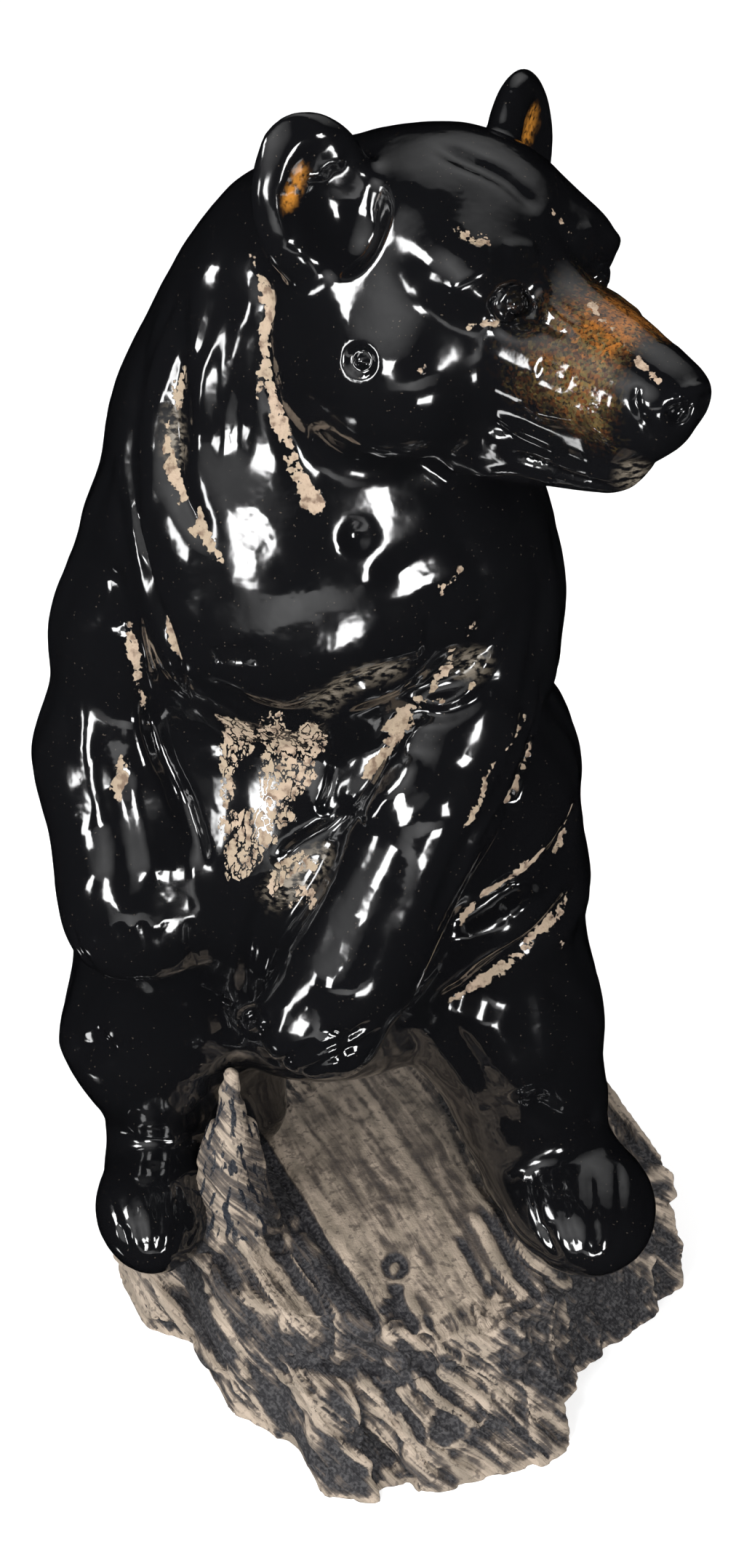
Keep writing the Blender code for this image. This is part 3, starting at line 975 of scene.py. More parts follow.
    def big_folds(self) -> list[Stroke]:
        """The folds of the coat that the solid has too, across and up from its own middle."""
        return [
            Stroke(((-34, 341), (-30, 333), (-31, 322), (-29, 305), (-23, 293), (-16, 277)), 4.0, -2.2, 0),
            Stroke(((-29, 344), (-24, 325), (-18, 305), (-11, 288)), 6.0, 1.6, -45),
            Stroke(((-30, 325), (-25, 304), (-24, 292), (-18, 278), (-8, 268), (2, 259)), 4.0, -2.0, -45),
            Stroke(((-40, 321), (-39, 303), (-34, 286), (-25, 270), (-15, 257)), 6.0, 1.6, -45),
            Stroke(
                ((-45, 305), (-46, 290), (-41, 275), (-32, 262), (-24, 247), (-14, 235), (-5, 225)),
                4.0, -2.4, -45,
            ),
            Stroke(
                ((-46, 269), (-41, 258), (-33, 245), (-29, 228), (-31, 204), (-28, 184), (-19, 171)),
                4.0, -2.0, -45,
            ),
            Stroke(
                ((-54, 225), (-45, 218), (-36, 211), (-25, 208), (-16, 213), (-6, 222), (9, 224), (20, 228)),
                5, -3.0, 0,
            ),
            Stroke(((-16, 209), (1, 209), (12, 211), (26, 217), (36, 227), (46, 241)), 4.5, -1.8, 0),
            Stroke(((47, 259), (36, 261), (25, 261), (15, 259), (6, 256), (-3, 252)), 6.0, -1.8, 0),
            Stroke(((26, 231), (17, 217), (8, 206), (-1, 189), (-10, 174)), 4.5, -2.4, 0),
            Stroke(
                ((49, 247), (49, 228), (45, 209), (39, 191), (29, 176), (21, 157), (12, 137)), 3.0, -2.2, 0
            ),
            Stroke(((63, 150), (57, 140), (41, 134), (27, 125), (20, 118)), 4.5, -4.0, 0),
            Stroke(((65, 122), (57, 120), (41, 109), (28, 94), (17, 87)), 5.0, -5.0, 0),
            Stroke(((31, 91), (37, 78), (43, 67), (49, 52)), 8.0, 2.2, 0),
            Stroke(((48, 57), (57, 46), (69, 39), (73, 37)), 4.0, -2.4, 0),
            Stroke(((-63, 59), (-50, 64), (-42, 71)), 5.0, -2.2, -45),
            Stroke(((-82, 69), (-76, 84), (-69, 97)), 7.0, 2.0, 0),
            Stroke(((-56, 101), (-49, 89), (-46, 72)), 4.0, -2.2, 0),
        ]

    def clefts(self) -> list[Stroke]:
        """The clefts between fingers and toes, and the mouth, as the solid has them."""
        paws = (
            ((-70.5, -52, 136), (7.5, 0.5, 0), ((0, 0, 0), (2.5, -3, -9), (6, -1, -19))),
            ((-16, -78, 124), (8.5, -2, 0), ((0, 0, 0), (-5, -2, -11), (-4, 1, -20))),
            ((-71, -49, 18), (7.0, 1.5, 0), ((0, 0, 0), (0.5, -7, -10))),
            ((67.5, -56, 22), (8.5, -1, 0), ((0, 0, 0), (2, -7, -11))),
        )
        strokes = []
        for middle, step, run in paws:
            for number in (-1.5, -0.5, 0.5, 1.5):
                start = Vector(middle) + number * Vector(step)
                route = tuple(tuple(start + Vector(turn)) for turn in run)
                strokes.append(Stroke(route, width=2.2, height=-0.7))
        lips = ((0, -88, -23), (6, -83, -24), (11, -68, -26), (15, -50, -26), (19, -40, -25))
        for side in (-1, 1):
            route = [head_matrix() @ Vector((side * across, back, up)) for across, back, up in lips]
            strokes.append(Stroke(tuple(map(tuple, route)), width=2.4, height=-1.6))
        return strokes

    def face_strokes(self) -> list[Stroke]:
        """The eyes' lids, the brows, the lips, the nose and the pits of the head."""
        both_sides = [
            # The eye's lids and the brow over it
            Stroke(ring(711, 419, 25, 0.85), 1.3, 0.9),
            Stroke(ring(711, 419, 16, 0.85), 1.0, -1.2),
            Stroke(((622, 408), (632, 392), (655, 378), (690, 364)), 2.2, 1.0),
            Stroke(((690, 346), (715, 342), (742, 348)), 2.2, 0.8),
            # The folds from the eye down the muzzle
            Stroke(((738, 398), (752, 420), (766, 435), (785, 450), (799, 466)), 1.5, 0.9),
            Stroke(((731, 436), (742, 444), (760, 452), (780, 466)), 1.4, -0.7),
            Stroke(((735, 505), (760, 513), (785, 525)), 3.0, -0.9),
            Stroke(((716, 560), (750, 570), (800, 578), (825, 592), (845, 615)), 3.0, 0.9),
            # The lips and the mouth between them
            Stroke(((655, 608), (690, 600), (725, 603), (755, 616), (775, 634)), 3.5, 1.2),
            Stroke(
                ((690, 626), (715, 630), (745, 640), (775, 654), (810, 665), (850, 672), (885, 671)),
                1.3, -1.8,
            ),
            Stroke(((640, 655), (690, 650), (730, 654), (770, 668)), 2.0, 0.9),
            # The nose and its nostrils
            Stroke(((882, 526), (873, 546), (878, 566), (892, 590), (903, 614)), 1.2, -1.0),
            Stroke(((926, 552), (938, 541), (955, 535), (970, 536)), 1.4, 0.9),
            Stroke(((960, 552), (947, 560), (935, 572), (940, 588)), 2.0, -2.0),
        ]
        one_side = [
            # The cleft under the nose
            Stroke(((985, 560), (975, 590), (955, 612)), 1.3, -1.2),
            # The groove over the crown and the pit in the cheek
            Stroke(((581, 186), (637, 214), (688, 237), (721, 265), (749, 293)), 3.4, -1.5),
            Stroke(((749, 293), (790, 335), (830, 385)), 4.0, -0.8),
            Stroke(ring(494, 497, 14), 1.5, -1.6),
            # The ears
            Stroke(((434, 252), (440, 232), (455, 219), (478, 222)), 2.6, 1.4),
            Stroke(((352, 222), (368, 184), (404, 161), (440, 172), (470, 203)), 2.0, 0.7),
            Stroke(((395, 250), (398, 300), (405, 350)), 3.0, -0.8),
            Stroke(((700, 130), (735, 104), (760, 108), (772, 150)), 1.8, 0.6),
            # The pit in the throat
            Stroke(ring(491, 738, 3), 3.6, -1.7),
        ]
        return [replace(stroke, mirrored=True) for stroke in both_sides] + one_side

    def coat_strokes(self) -> list[Stroke]:
        """The lines that a tool has drawn down the coat, the arms and the legs."""
        return [
            # The hanging arm and the flank beside it
            Stroke(((172, 655), (186, 745), (205, 805), (228, 860), (250, 930), (262, 985)), 1.8, -1.8),
            Stroke(((183, 665), (200, 770), (218, 830), (245, 900)), 2.2, 1.0),
            Stroke(((196, 945), (208, 1000), (222, 1040), (244, 1090), (266, 1150), (290, 1215)), 2.8, -2.6),
            Stroke(((150, 775), (168, 830), (172, 880)), 4.0, -1.8),
            Stroke(((112, 900), (117, 1000), (129, 1080), (137, 1140)), 4.2, 1.0),
            Stroke(((150, 1010), (163, 1100), (176, 1180), (180, 1255)), 4.2, -1.0),
            Stroke(((175, 1035), (192, 1110), (205, 1165), (214, 1245)), 4.0, 0.9),
            Stroke(((230, 1060), (250, 1130), (262, 1200), (264, 1265)), 3.0, -1.0),
            # The belly beside the left forearm
            Stroke(((495, 1098), (455, 1138), (410, 1165), (378, 1195)), 2.6, -2.2),
            Stroke(((465, 1035), (458, 1085), (440, 1125)), 2.6, -1.6),
            Stroke(((520, 985), (495, 1060), (470, 1110)), 3.2, 1.2),
            Stroke(((375, 1200), (352, 1262), (338, 1330), (332, 1395)), 2.6, -1.8),
            # The left arm and the chest above it
            Stroke(((738, 900), (730, 950), (706, 1010), (690, 1060), (660, 1120), (636, 1155)), 2.2, 1.4),
            Stroke(((752, 920), (742, 985), (716, 1060), (688, 1120), (650, 1190)), 1.8, -1.8),
            Stroke(
                ((505, 985), (560, 968), (610, 965), (650, 943), (676, 905), (700, 865), (715, 825)), 2.2, 1.3
            ),
            Stroke(((520, 1000), (570, 985), (620, 982), (662, 958), (690, 915)), 2.4, -1.3),
            Stroke(((590, 840), (588, 880), (584, 915)), 1.4, -0.9),
            Stroke(((575, 1035), (560, 1075), (520, 1110), (500, 1140)), 3.6, 1.0),
            # The left thigh and the hip
            Stroke(((735, 1310), (744, 1365), (752, 1425), (754, 1480)), 4.0, 1.2),
            Stroke(((566, 1402), (590, 1425), (640, 1490), (668, 1560)), 3.0, 1.2),
            Stroke(((600, 1385), (640, 1440), (690, 1520), (720, 1590)), 4.0, -1.2),
            Stroke(((700, 1210), (735, 1195), (760, 1185)), 3.5, 1.4),
            Stroke(((690, 1262), (720, 1245), (750, 1225)), 3.0, 1.2),
            # The pit and the cuts between the legs
            Stroke(ring(347, 1408, 17), 1.4, -1.0),
            Stroke(((352, 1438), (380, 1462), (404, 1450), (440, 1432)), 1.5, -1.3),
            Stroke(((398, 1482), (440, 1464), (490, 1440), (530, 1412)), 1.5, -1.5),
            Stroke(((395, 1468), (440, 1448), (485, 1425), (520, 1398)), 1.5, -1.1),
            Stroke(((296, 1376), (306, 1379), (316, 1378)), 1.2, -1.4),
            Stroke(((452, 1417), (470, 1421), (482, 1419)), 1.1, -1.2),
            # The right thigh
            Stroke(((175, 1345), (160, 1400), (150, 1440)), 4.5, 1.2),
            Stroke(((258, 1345), (272, 1400), (282, 1450)), 4.0, 1.0),
        ]

    def fans(self) -> list[Fan]:
        """Strands of fur drawn side by side: fingers, toes, neck, haunches and the plainer back."""
        return [
            # The fingers, the short hair on the chest and the toes
            Fan(
                ((96, 1268), (110, 1304), (136, 1340)), ((262, 1262), (262, 1296), (272, 1332)), 6, 1.5, -0.7
            ),
            Fan(((292, 886), (297, 902), (302, 916)), ((345, 884), (349, 902), (352, 918)), 6, 1.2, -1.0),
            Fan(
                ((150, 1640), (165, 1690), (186, 1730)), ((272, 1612), (272, 1680), (250, 1722)), 5, 1.3, -0.7
            ),
            Fan(
                ((726, 1600), (742, 1680), (775, 1736)), ((892, 1590), (890, 1670), (862, 1728)), 5, 1.6, -0.8
            ),
            # The neck, the hip and the chest
            Fan(((300, 400), (268, 520), (250, 640)), ((345, 420), (330, 540), (320, 660)), 3, 3.0, -0.9),
            Fan(((250, 380), (205, 500), (178, 620)), ((290, 400), (250, 480), (215, 600)), 3, 3.2, -1.0),
            Fan(
                ((640, 1290), (600, 1350), (560, 1400)), ((690, 1130), (640, 1220), (590, 1310)), 3, 2.2, -0.9
            ),
            Fan(((600, 820), (680, 770), (745, 720)), ((640, 870), (700, 820), (755, 770)), 3, 2.6, -0.8),
            # The back and both sides
            Fan(
                ((-46, 300), (-58, 236), (-54, 176), (-46, 124)),
                ((28, 296), (50, 232), (52, 172), (44, 124)),
                9, 4.2, -1.1, 180,
            ),
            Fan(((-50, 118), (-30, 88), (-34, 60)), ((44, 116), (30, 88), (36, 60)), 5, 4.0, -0.9, 180),
            Fan(
                ((-34, 300), (-40, 240), (-34, 180), (-20, 130)),
                ((30, 290), (36, 230), (30, 170), (24, 120)),
                6, 4.0, -0.9, 90,
            ),
            Fan(((-30, 120), (-24, 90), (-10, 60)), ((34, 116), (28, 84), (16, 56)), 5, 3.6, -0.9, 90),
            Fan(((-30, 280), (-34, 220), (-24, 150)), ((28, 290), (34, 230), (30, 150)), 6, 4.0, -0.8, -90),
            Fan(((-26, 110), (-26, 80), (-14, 50)), ((36, 112), (26, 80), (12, 50)), 5, 3.6, -0.9, -90),
        ]

    def tears(self) -> tuple[Tear, ...]:
        """Where the glaze has drawn back in long tears."""
        seen = (
            ((345, 345, 2), (352, 372, 3), (366, 398, 10), (372, 425, 9), (366, 462, 8), (366, 505, 8)),
            ((366, 500, 8), (374, 540, 7), (380, 562, 9), (384, 586, 9), (394, 604, 8), (402, 640, 9)),
            ((402, 636, 9), (418, 665, 10), (432, 690, 12), (443, 706, 3)),
            ((355, 495, 2), (356, 520, 3), (353, 545, 3)),
            ((255, 485, 3), (254, 510, 5), (247, 535, 8), (243, 562, 8)),
            ((233, 575, 2), (229, 600, 4), (232, 625, 7), (243, 655, 9), (252, 685, 6)),
            ((274, 693, 3), (276, 715, 7), (283, 735, 8), (292, 757, 6), (307, 775, 3)),
            ((276, 720, 5), (264, 737, 5), (258, 748, 2)),
            ((228, 848, 3), (236, 872, 5), (246, 897, 5), (251, 910, 1)),
            ((182, 852, 2), (180, 880, 8), (184, 905, 8), (190, 930, 5), (192, 942, 3)),
            ((186, 925, 3), (196, 965, 3), (205, 1000, 2)),
            ((166, 1040, 3), (168, 1060, 8), (163, 1085, 8), (164, 1108, 2)),
            ((588, 822, 2), (608, 810, 5), (624, 795, 3), (640, 778, 2)),
            ((650, 862, 4), (645, 875, 3)),
            ((622, 893, 5), (618, 912, 8), (604, 930, 6), (588, 956, 4)),
            ((540, 992, 8), (562, 975, 9), (580, 962, 5), (606, 966, 2), (632, 960, 2), (650, 942, 2)),
            ((560, 985, 7), (545, 1015, 8), (524, 1040, 9), (505, 1065, 5), (496, 1076, 2)),
            ((532, 998, 5), (550, 1000, 9), (564, 995, 5)),
            ((722, 982, 2), (702, 1025, 4), (672, 1058, 4), (662, 1095, 7), (648, 1125, 4), (636, 1142, 2)),
            ((730, 1010, 2), (724, 1040, 3), (712, 1070, 4), (700, 1090, 6), (692, 1104, 2)),
            ((790, 1098, 3), (784, 1115, 6), (778, 1128, 3)),
            ((775, 1140, 2), (768, 1160, 4), (762, 1172, 2)),
            ((748, 1168, 2), (725, 1190, 6), (695, 1212, 6), (664, 1230, 8), (640, 1255, 5), (632, 1268, 2)),
            ((783, 1222, 3), (772, 1250, 6), (755, 1268, 6), (737, 1283, 4)),
            ((735, 1285, 4), (712, 1312, 6), (690, 1330, 7), (660, 1350, 6), (632, 1368, 4), (618, 1374, 2)),
            ((768, 1290, 1), (774, 1305, 1), (777, 1328, 1)),
            ((631, 322, 6), (642, 326, 6), (654, 329, 4), (670, 332, 6)),
            ((762, 292, 2.0), (776, 312, 2.6), (790, 334, 2.0)),
            ((801, 400, 2.2), (826, 436, 3.2), (855, 470, 3.6), (884, 502, 4.4), (908, 526, 2.4)),
            ((640, 452, 1.2), (660, 445, 1.5), (684, 444, 1.2)),
            ((575, 512, 1.2), (583, 503, 1.4), (591, 496, 1.2)),
        )
        behind = (
            ((20, 262, 0.6), (30, 238, 1.4), (36, 214, 0.8)),
            ((-34, 206, 0.6), (-40, 186, 1.6), (-38, 166, 0.8)),
            ((24, 128, 0.8), (34, 110, 2.0), (34, 94, 0.8)),
        )
        aside = (
            ((6, 236, 0.6), (12, 214, 1.6), (8, 190, 0.8)),
        )
        return tears_along(seen) + tears_along(behind, view=180) + tears_along(aside, view=90)

    def flakes(self) -> tuple[Tear, ...]:
        """Where the glaze has broken into small leaves, as on the belly."""
        leaves = (
            ((318, 996, 18), (332, 1010, 22), (315, 1045, 12), (312, 1100, 8)),
            ((372, 988, 16), (378, 1020, 16), (398, 1050, 30), (388, 1080, 28), (385, 1118, 16)),
            ((405, 1020, 10), (432, 1004, 12), (436, 1030, 10)),
            ((300, 1135, 8), (345, 1130, 18), (335, 1165, 26), (325, 1200, 14)),
            ((350, 1120, 8), (372, 1150, 10), (378, 1160, 4)),
            ((372, 1222, 8), (395, 1196, 12), (412, 1185, 12), (428, 1190, 8)),
            ((398, 1245, 6), (415, 1225, 10), (432, 1240, 9)),
        )
        return tears_along(leaves)

    def faint(self) -> tuple[Tear, ...]:
        """Where the glaze is thin and the clay shows through as a grey-tan haze."""
        haze = (
            ((448, 962, 6), (470, 940, 11), (500, 925, 12), (540, 917, 8)),
            ((432, 958, 4), (438, 970, 4), (446, 976, 2)),
            ((440, 1180, 10), (400, 1215, 16), (376, 1232, 8)),
            ((640, 905, 8), (655, 912, 10), (640, 925, 6)),
            ((238, 575, 7), (240, 600, 8), (244, 625, 6)),
            ((868, 640, 6), (872, 655, 12), (884, 668, 8)),
        )
        return tears_along(haze)

    def rust(self, points: np.ndarray) -> tuple[np.ndarray, np.ndarray]:
        """How rusty the glaze is at each point of the muzzle, and how orange.

        Args:
            points: The points.

        Returns:
            The share of rust and the share of orange in it.
        """
        inverse = head_matrix().inverted()
        local = points @ np.array(inverse.to_3x3()).T + np.array(inverse.translation)
        forward = -local[:, 1]
        side = np.abs(local[:, 0])
        start, height = self.ridge_place
        drop = height - self.ridge_fall * (forward - start) - local[:, 2]
        rust = smooth_step(*self.rust_start, forward + self.rust_start_lean * drop)
        rust *= 1 - smooth_step(*self.rust_end, forward + self.rust_end_lean * drop)
        rust *= 1 - smooth_step(*self.rust_drop, drop)
        orange = smooth_step(*self.orange_start, forward) * (1 - smooth_step(*self.orange_end, forward))
        orange *= (1 - smooth_step(*self.orange_drop, drop)) * (1 - smooth_step(*self.orange_side, side))
        return rust, orange

    def amber(self, points: np.ndarray, surface: Surface) -> np.ndarray:
        """How strong the amber patch inside each ear is at each point."""
        mask = np.zeros(len(points))
        for spot, radius in zip(self.amber_routes, self.amber_radii):
            route = surface.lay(np.array(spot, float), None)
            if len(route) > 1:
                away, _ = route_nearness(points, route)
                mask = np.maximum(mask, 1 - smooth_step(self.amber_core * radius, radius, away))
        return mask

    def lumps(self, points: np.ndarray) -> np.ndarray:
        """How far the hand-worked surface stands off the smooth form at each point."""
        push = sum(lumps.at(points) for lumps in self.unevenness)
        across, back, up = self.ear_cup
        cups = [head_matrix() @ Vector((side * across, back, up)) for side in (-1, 1)]
        for number, middle in enumerate([*cups, *self.paws]):
            pitted = Lumps(self.pitted_size, 5 + number, self.pitted_height)
            away = np.linalg.norm(points - np.array(middle), axis=1)
            push += (1 - smooth_step(*self.pitted_span, away)) * pitted.at(points)
        return push

    def build(self, finishes: "Finishes") -> bpy.types.Object:
        """Models the bear, marks its skin for the glaze and sets it in the frame.

        Args:
            finishes: The finishes to dress it in.

        Returns:
            The finished piece.
        """
        skin, surface = modelled(self.clay())
        strokes = self.big_folds() + self.clefts() + self.coat_strokes()
        for fan in self.fans():
            strokes += fan.strokes()
        for group in (strokes, self.face_strokes()):
            skin.push(stroke_heights(skin.points, surface, group))
        skin.push(self.lumps(skin.points))
        skin = thinned(skin, self.triangles)
        points = skin.points
        surface = Surface(skin.tree())
        rust, orange = self.rust(points)
        marks = {
            "bare": nearness_mask(points, surface, self.tears(), self.tear_edge),
            "flaked": nearness_mask(points, surface, self.flakes(), self.tear_edge),
            "faint": nearness_mask(points, surface, self.faint(), self.haze_edge),
            "rust": rust,
            "orange": orange,
            "amber": self.amber(points, surface),
        }
        return set_down(skin, self.name, marks, finishes.glaze)


@dataclass(frozen=True)
class Rock:
    """The bare clay rock: planks split along the grain, and the splinter by the right leg."""

    name: str = "clay_rock"
    triangles: int = 170000
    height: float = ROCK_TOP
    shelf: float = 30.0
    width: float = 176.0
    length: float = 193.0
    sidestep: float = 5.0
    overlap: float = 1.0
    skew: float = 0.5
    foot_slope: float = 0.55
    step_slope: float = 0.20
    sunk_foot: float = -12.0
    sunk_step: float = 6.0

    # The strips run down to the right on the front: how steeply, and how they wander
    strip_slope: float = 0.95
    wander: tuple[Lumps, ...] = (Lumps((26, 34, 34), 11, 3.0), Lumps((9, 13, 15), 19, 1.1))

    # The split surface: steps from strip to strip, cracks, fine strands, and grains in the low strips
    broad: Lumps = Lumps((9.0, 70, 70), 12)
    strips: Lumps = Lumps((4.4, 34, 34), 13)
    steepness: float = 5.0
    strip_share: float = 0.9
    step_height: float = 1.15
    cracks: Lumps = Lumps((6.0, 50, 50), 20)
    crack_width: float = 0.07
    crack_depth: float = 1.9
    fine: Lumps = Lumps((1.7, 14, 14), 14, 0.25)
    low_span: Span = (0.6, -0.8)
    grains: tuple[Lumps, ...] = (Lumps(1.9, 21, 0.5), Lumps(3.3, 22, 0.4))

    # The crumbled clay, and the grit on all of it
    crumbs: tuple[Lumps, ...] = (Lumps(5.6, 15, 1.725), Lumps(3.0, 16, 1.495))
    grit: tuple[Lumps, ...] = (Lumps(1.9, 17, 0.12), Lumps(6.0, 18, 0.25))

    # Where the relief is calmer, over the table, and what share of it goes there
    foot_span: Span = (6.0, 0.0)
    foot_calm: float = 0.65
    splinter_span: Span = (ROCK_TOP + 1, ROCK_TOP + 8)
    splinter_calm: float = 0.75
    plate_calm: float = 0.88
    rubble_calm: float = 0.6

    # How far back the seen front reaches, and the plate's height about the rock's top; edges are in pixels
    seen_until: float = 60.0
    plate_rise: Span = (-9.0, -4.0)
    plate_edge: float = 14.0
    right_edge: float = 26.0
    ledge_edge: float = 16.0

    # How many millimetres each mark takes from 0 to 1, and how evenly worn a form the hollows lie below
    raised_range: float = 5.0
    cavity_range: float = 1.2
    cavity_rounds: int = 8
    drawn_range: float = 4.0
    splinter_rise: Span = (2.0, 9.0)

    def shares(self) -> tuple[tuple[float, float, float, float], ...]:
        """Each plank's foot, step and back along the grain, and its top over the shelf, as shares."""
        return (
            (0.03, 0.01, -0.16, 0.80),
            (0.31, 0.24, -0.31, 0.90),
            (0.50, 0.31, -0.43, 0.97),
            (0.50, 0.36, -0.46, 0.90),
            (0.54, 0.415, -0.47, 1.0),
            (0.545, 0.455, -0.45, 0.98),
            (0.55, 0.465, -0.415, 1.0),
            (0.545, 0.445, -0.39, 0.95),
            (0.435, 0.35, -0.36, 0.98),
            (0.375, 0.295, -0.32, 0.90),
            (0.34, 0.265, -0.26, 0.95),
            (0.315, 0.245, -0.20, 0.85),
            (0.27, 0.20, -0.14, 0.72),
        )

    def planks(self) -> list[Mass]:
        """The two tiers of planks, the upper one set back behind the shelf."""
        shares = self.shares()
        width = self.width / len(shares)
        half = width / 2 + self.overlap
        gain = self.skew * self.length / (2 * width)
        planks = []
        for number, (foot, step, back, top) in enumerate(shares):
            across = self.sidestep + (number - (len(shares) - 1) / 2) * width
            crown = self.shelf + (self.height - self.shelf) * top
            left = shares[max(number - 1, 0)]
            right = shares[min(number + 1, len(shares) - 1)]
            ends = (foot * self.length, back * self.length)
            slant = gain * (right[0] - left[0])
            planks.append(Plank(across, half, ends, (self.sunk_foot, self.shelf), self.foot_slope, slant))
            ends = (step * self.length + self.step_slope * crown, back * self.length)
            slant = gain * (right[1] - left[1])
            planks.append(Plank(across, half, ends, (self.sunk_step, crown), self.step_slope, slant))
        return planks

    def splinter(self) -> list[Mass]:
        """The pointed splinter that stands against the inside of the right leg."""
        return [
            Limb((-47, -37, 6), 10.5, (-46.5, -26, 58), 2.6, blend=3),
            Limb((-40, -34, 4), 8, (-42.5, -26, 36), 4.2, blend=3),
            Limb((-54, -36, 2), 8, (-51.5, -28, 36), 4.2, blend=3),
            Limb((-40, -46, -4), 9, (-43, -35, 18), 4, blend=3),
        ]

    def grain(self, points: np.ndarray) -> np.ndarray:
        """Each point across the grain, along it and up from the table."""
        turn = np.array(Matrix.Rotation(math.radians(GRAIN), 3, "Z"))
        local = points @ turn
        return np.stack([local[:, 0], -local[:, 1], local[:, 2] + ROCK_TOP], axis=1)

    def lanes(self, points: np.ndarray) -> np.ndarray:
        """Each point by the strip it lies in, which runs down to the right on the front, along it and up."""
        places = self.grain(points)
        across, along, rise = places.T
        bend = sum(lumps.at(places) for lumps in self.wander)
        return np.stack([across + self.strip_slope * rise + bend, along, rise], axis=1)

    def plate(self, points: np.ndarray) -> np.ndarray:
        """How far inside the smooth plate between the feet each point is."""
        outline = ((352, 1560), (392, 1520), (480, 1450), (560, 1440), (620, 1530), (668, 1640), (700, 1720))
        front = ((668, 1790), (600, 1826), (532, 1800), (455, 1722), (385, 1630))
        plate = inside_outline(PHOTO.pixels(points), outline + front, self.plate_edge)
        return plate * (points[:, 1] < self.seen_until) * smooth_step(*self.plate_rise, points[:, 2])

    def rubble(self, points: np.ndarray) -> np.ndarray:
        """How far inside the crumbled clay at the right and along the ledge each point is."""
        right = (
            (690, 1775), (760, 1745), (850, 1740), (960, 1740),
            (960, 1800), (860, 1880), (775, 1930), (650, 1900),
        )
        ledge = (
            (345, 1845), (400, 1822), (520, 1845), (640, 1850),
            (640, 1890), (520, 1905), (440, 1890), (350, 1885),
        )
        pixels = PHOTO.pixels(points)
        crumbled = inside_outline(pixels, right, self.right_edge)
        crumbled = np.maximum(crumbled, inside_outline(pixels, ledge, self.ledge_edge))
        return crumbled * (points[:, 1] < self.seen_until)

    def strokes(self) -> list[Stroke]:
        """The long splits, the pits and the rolled lips of the rock."""
        return [
            # The long split along the plate's front edge
            Stroke(((352, 1560), (375, 1610), (410, 1668), (455, 1735), (500, 1795), (540, 1835)), 2.4, -2.3),
            Stroke(((540, 1835), (580, 1880), (620, 1925), (648, 1952)), 2.2, -1.8),
            # The keyhole
            Stroke(ring(543, 1742, 12), 1.9, -1.5),
            Stroke(((545, 1757), (547, 1782), (556, 1808), (578, 1838)), 3.2, -1.9),
            Stroke(((546, 1788), (534, 1800), (524, 1808)), 2.2, -1.0),
            Stroke(((524, 1765), (531, 1790)), 1.4, 0.9),
            Stroke(((560, 1760), (566, 1790), (582, 1815)), 1.4, 0.9),
            # The knot hole
            Stroke(ring(614, 1964, 8), 4.6, -2.3),
            Stroke(ring(614, 1964, 29), 1.6, 1.0),
            # The rolled lips and the grooves beside them
            Stroke(((205, 1745), (228, 1790), (266, 1842), (305, 1886), (326, 1892)), 1.8, 1.7),
            Stroke(((326, 1892), (338, 1886), (326, 1850), (300, 1805), (274, 1745)), 1.8, 1.8),
            Stroke(((232, 1750), (262, 1810), (300, 1862), (318, 1880)), 2.8, -1.8),
            Stroke(((366, 1882), (400, 1902), (450, 1960), (492, 2006), (524, 2016)), 1.8, 1.8),
            Stroke(((524, 2016), (522, 2000), (480, 1958), (430, 1908)), 1.3, 1.0),
            Stroke(((342, 1900), (362, 1950), (402, 2008), (440, 2050)), 1.8, 1.6),
            Stroke(((362, 1900), (395, 1960), (440, 2015), (468, 2035)), 3.0, -1.8),
            Stroke(((440, 1900), (480, 1955), (520, 2000), (545, 2020)), 3.6, -2.2),
            Stroke(((505, 1912), (545, 1962), (590, 2016), (604, 2032)), 2.0, 1.7),
            Stroke(((528, 1905), (566, 1955), (590, 1990)), 2.4, -1.4),
            Stroke(((560, 1880), (604, 1926), (650, 1958), (676, 1948)), 1.8, 1.7),
            Stroke(((676, 1948), (662, 1922), (620, 1890)), 1.4, 1.0),
            Stroke(((592, 1835), (618, 1864), (640, 1876), (634, 1850)), 1.8, 1.7),
            Stroke(((640, 1660), (668, 1700), (700, 1760), (735, 1795)), 1.8, 1.7),
            Stroke(((625, 1690), (655, 1745), (680, 1790)), 2.2, -1.6),
            Stroke(((700, 1690), (722, 1725), (752, 1750), (772, 1768), (790, 1758)), 1.8, 1.7),
            Stroke(((360, 1680), (400, 1745), (440, 1800), (470, 1840)), 2.2, -1.4),
            Stroke(((320, 1690), (360, 1760), (400, 1815)), 1.6, 1.0),
        ]

    def relief(self, points: np.ndarray) -> np.ndarray:
        """How far the split and crumbled surface stands off the planks at each point."""
        lanes = self.lanes(points)
        rise = lanes[:, 2]
        plate = self.plate(points)
        rubble = self.rubble(points)
        level = np.tanh(self.steepness * self.broad.at(lanes))
        level += self.strip_share * np.tanh(self.steepness * self.strips.at(lanes))
        split = self.step_height * level + self.fine.at(lanes)
        split -= self.crack_depth * np.exp(-((self.cracks.at(lanes) / self.crack_width) ** 2))
        split += smooth_step(*self.low_span, level) * sum(lumps.at(points) for lumps in self.grains)
        crumbs = sum(lumps.at(points) for lumps in self.crumbs)
        grit = sum(lumps.at(points) for lumps in self.grit)
        calm = 1 - self.foot_calm * smooth_step(*self.foot_span, rise)
        calm *= 1 - self.splinter_calm * smooth_step(*self.splinter_span, rise)
        split *= (1 - self.plate_calm * plate) * (1 - self.rubble_calm * rubble)
        return (split + crumbs * rubble + grit) * calm

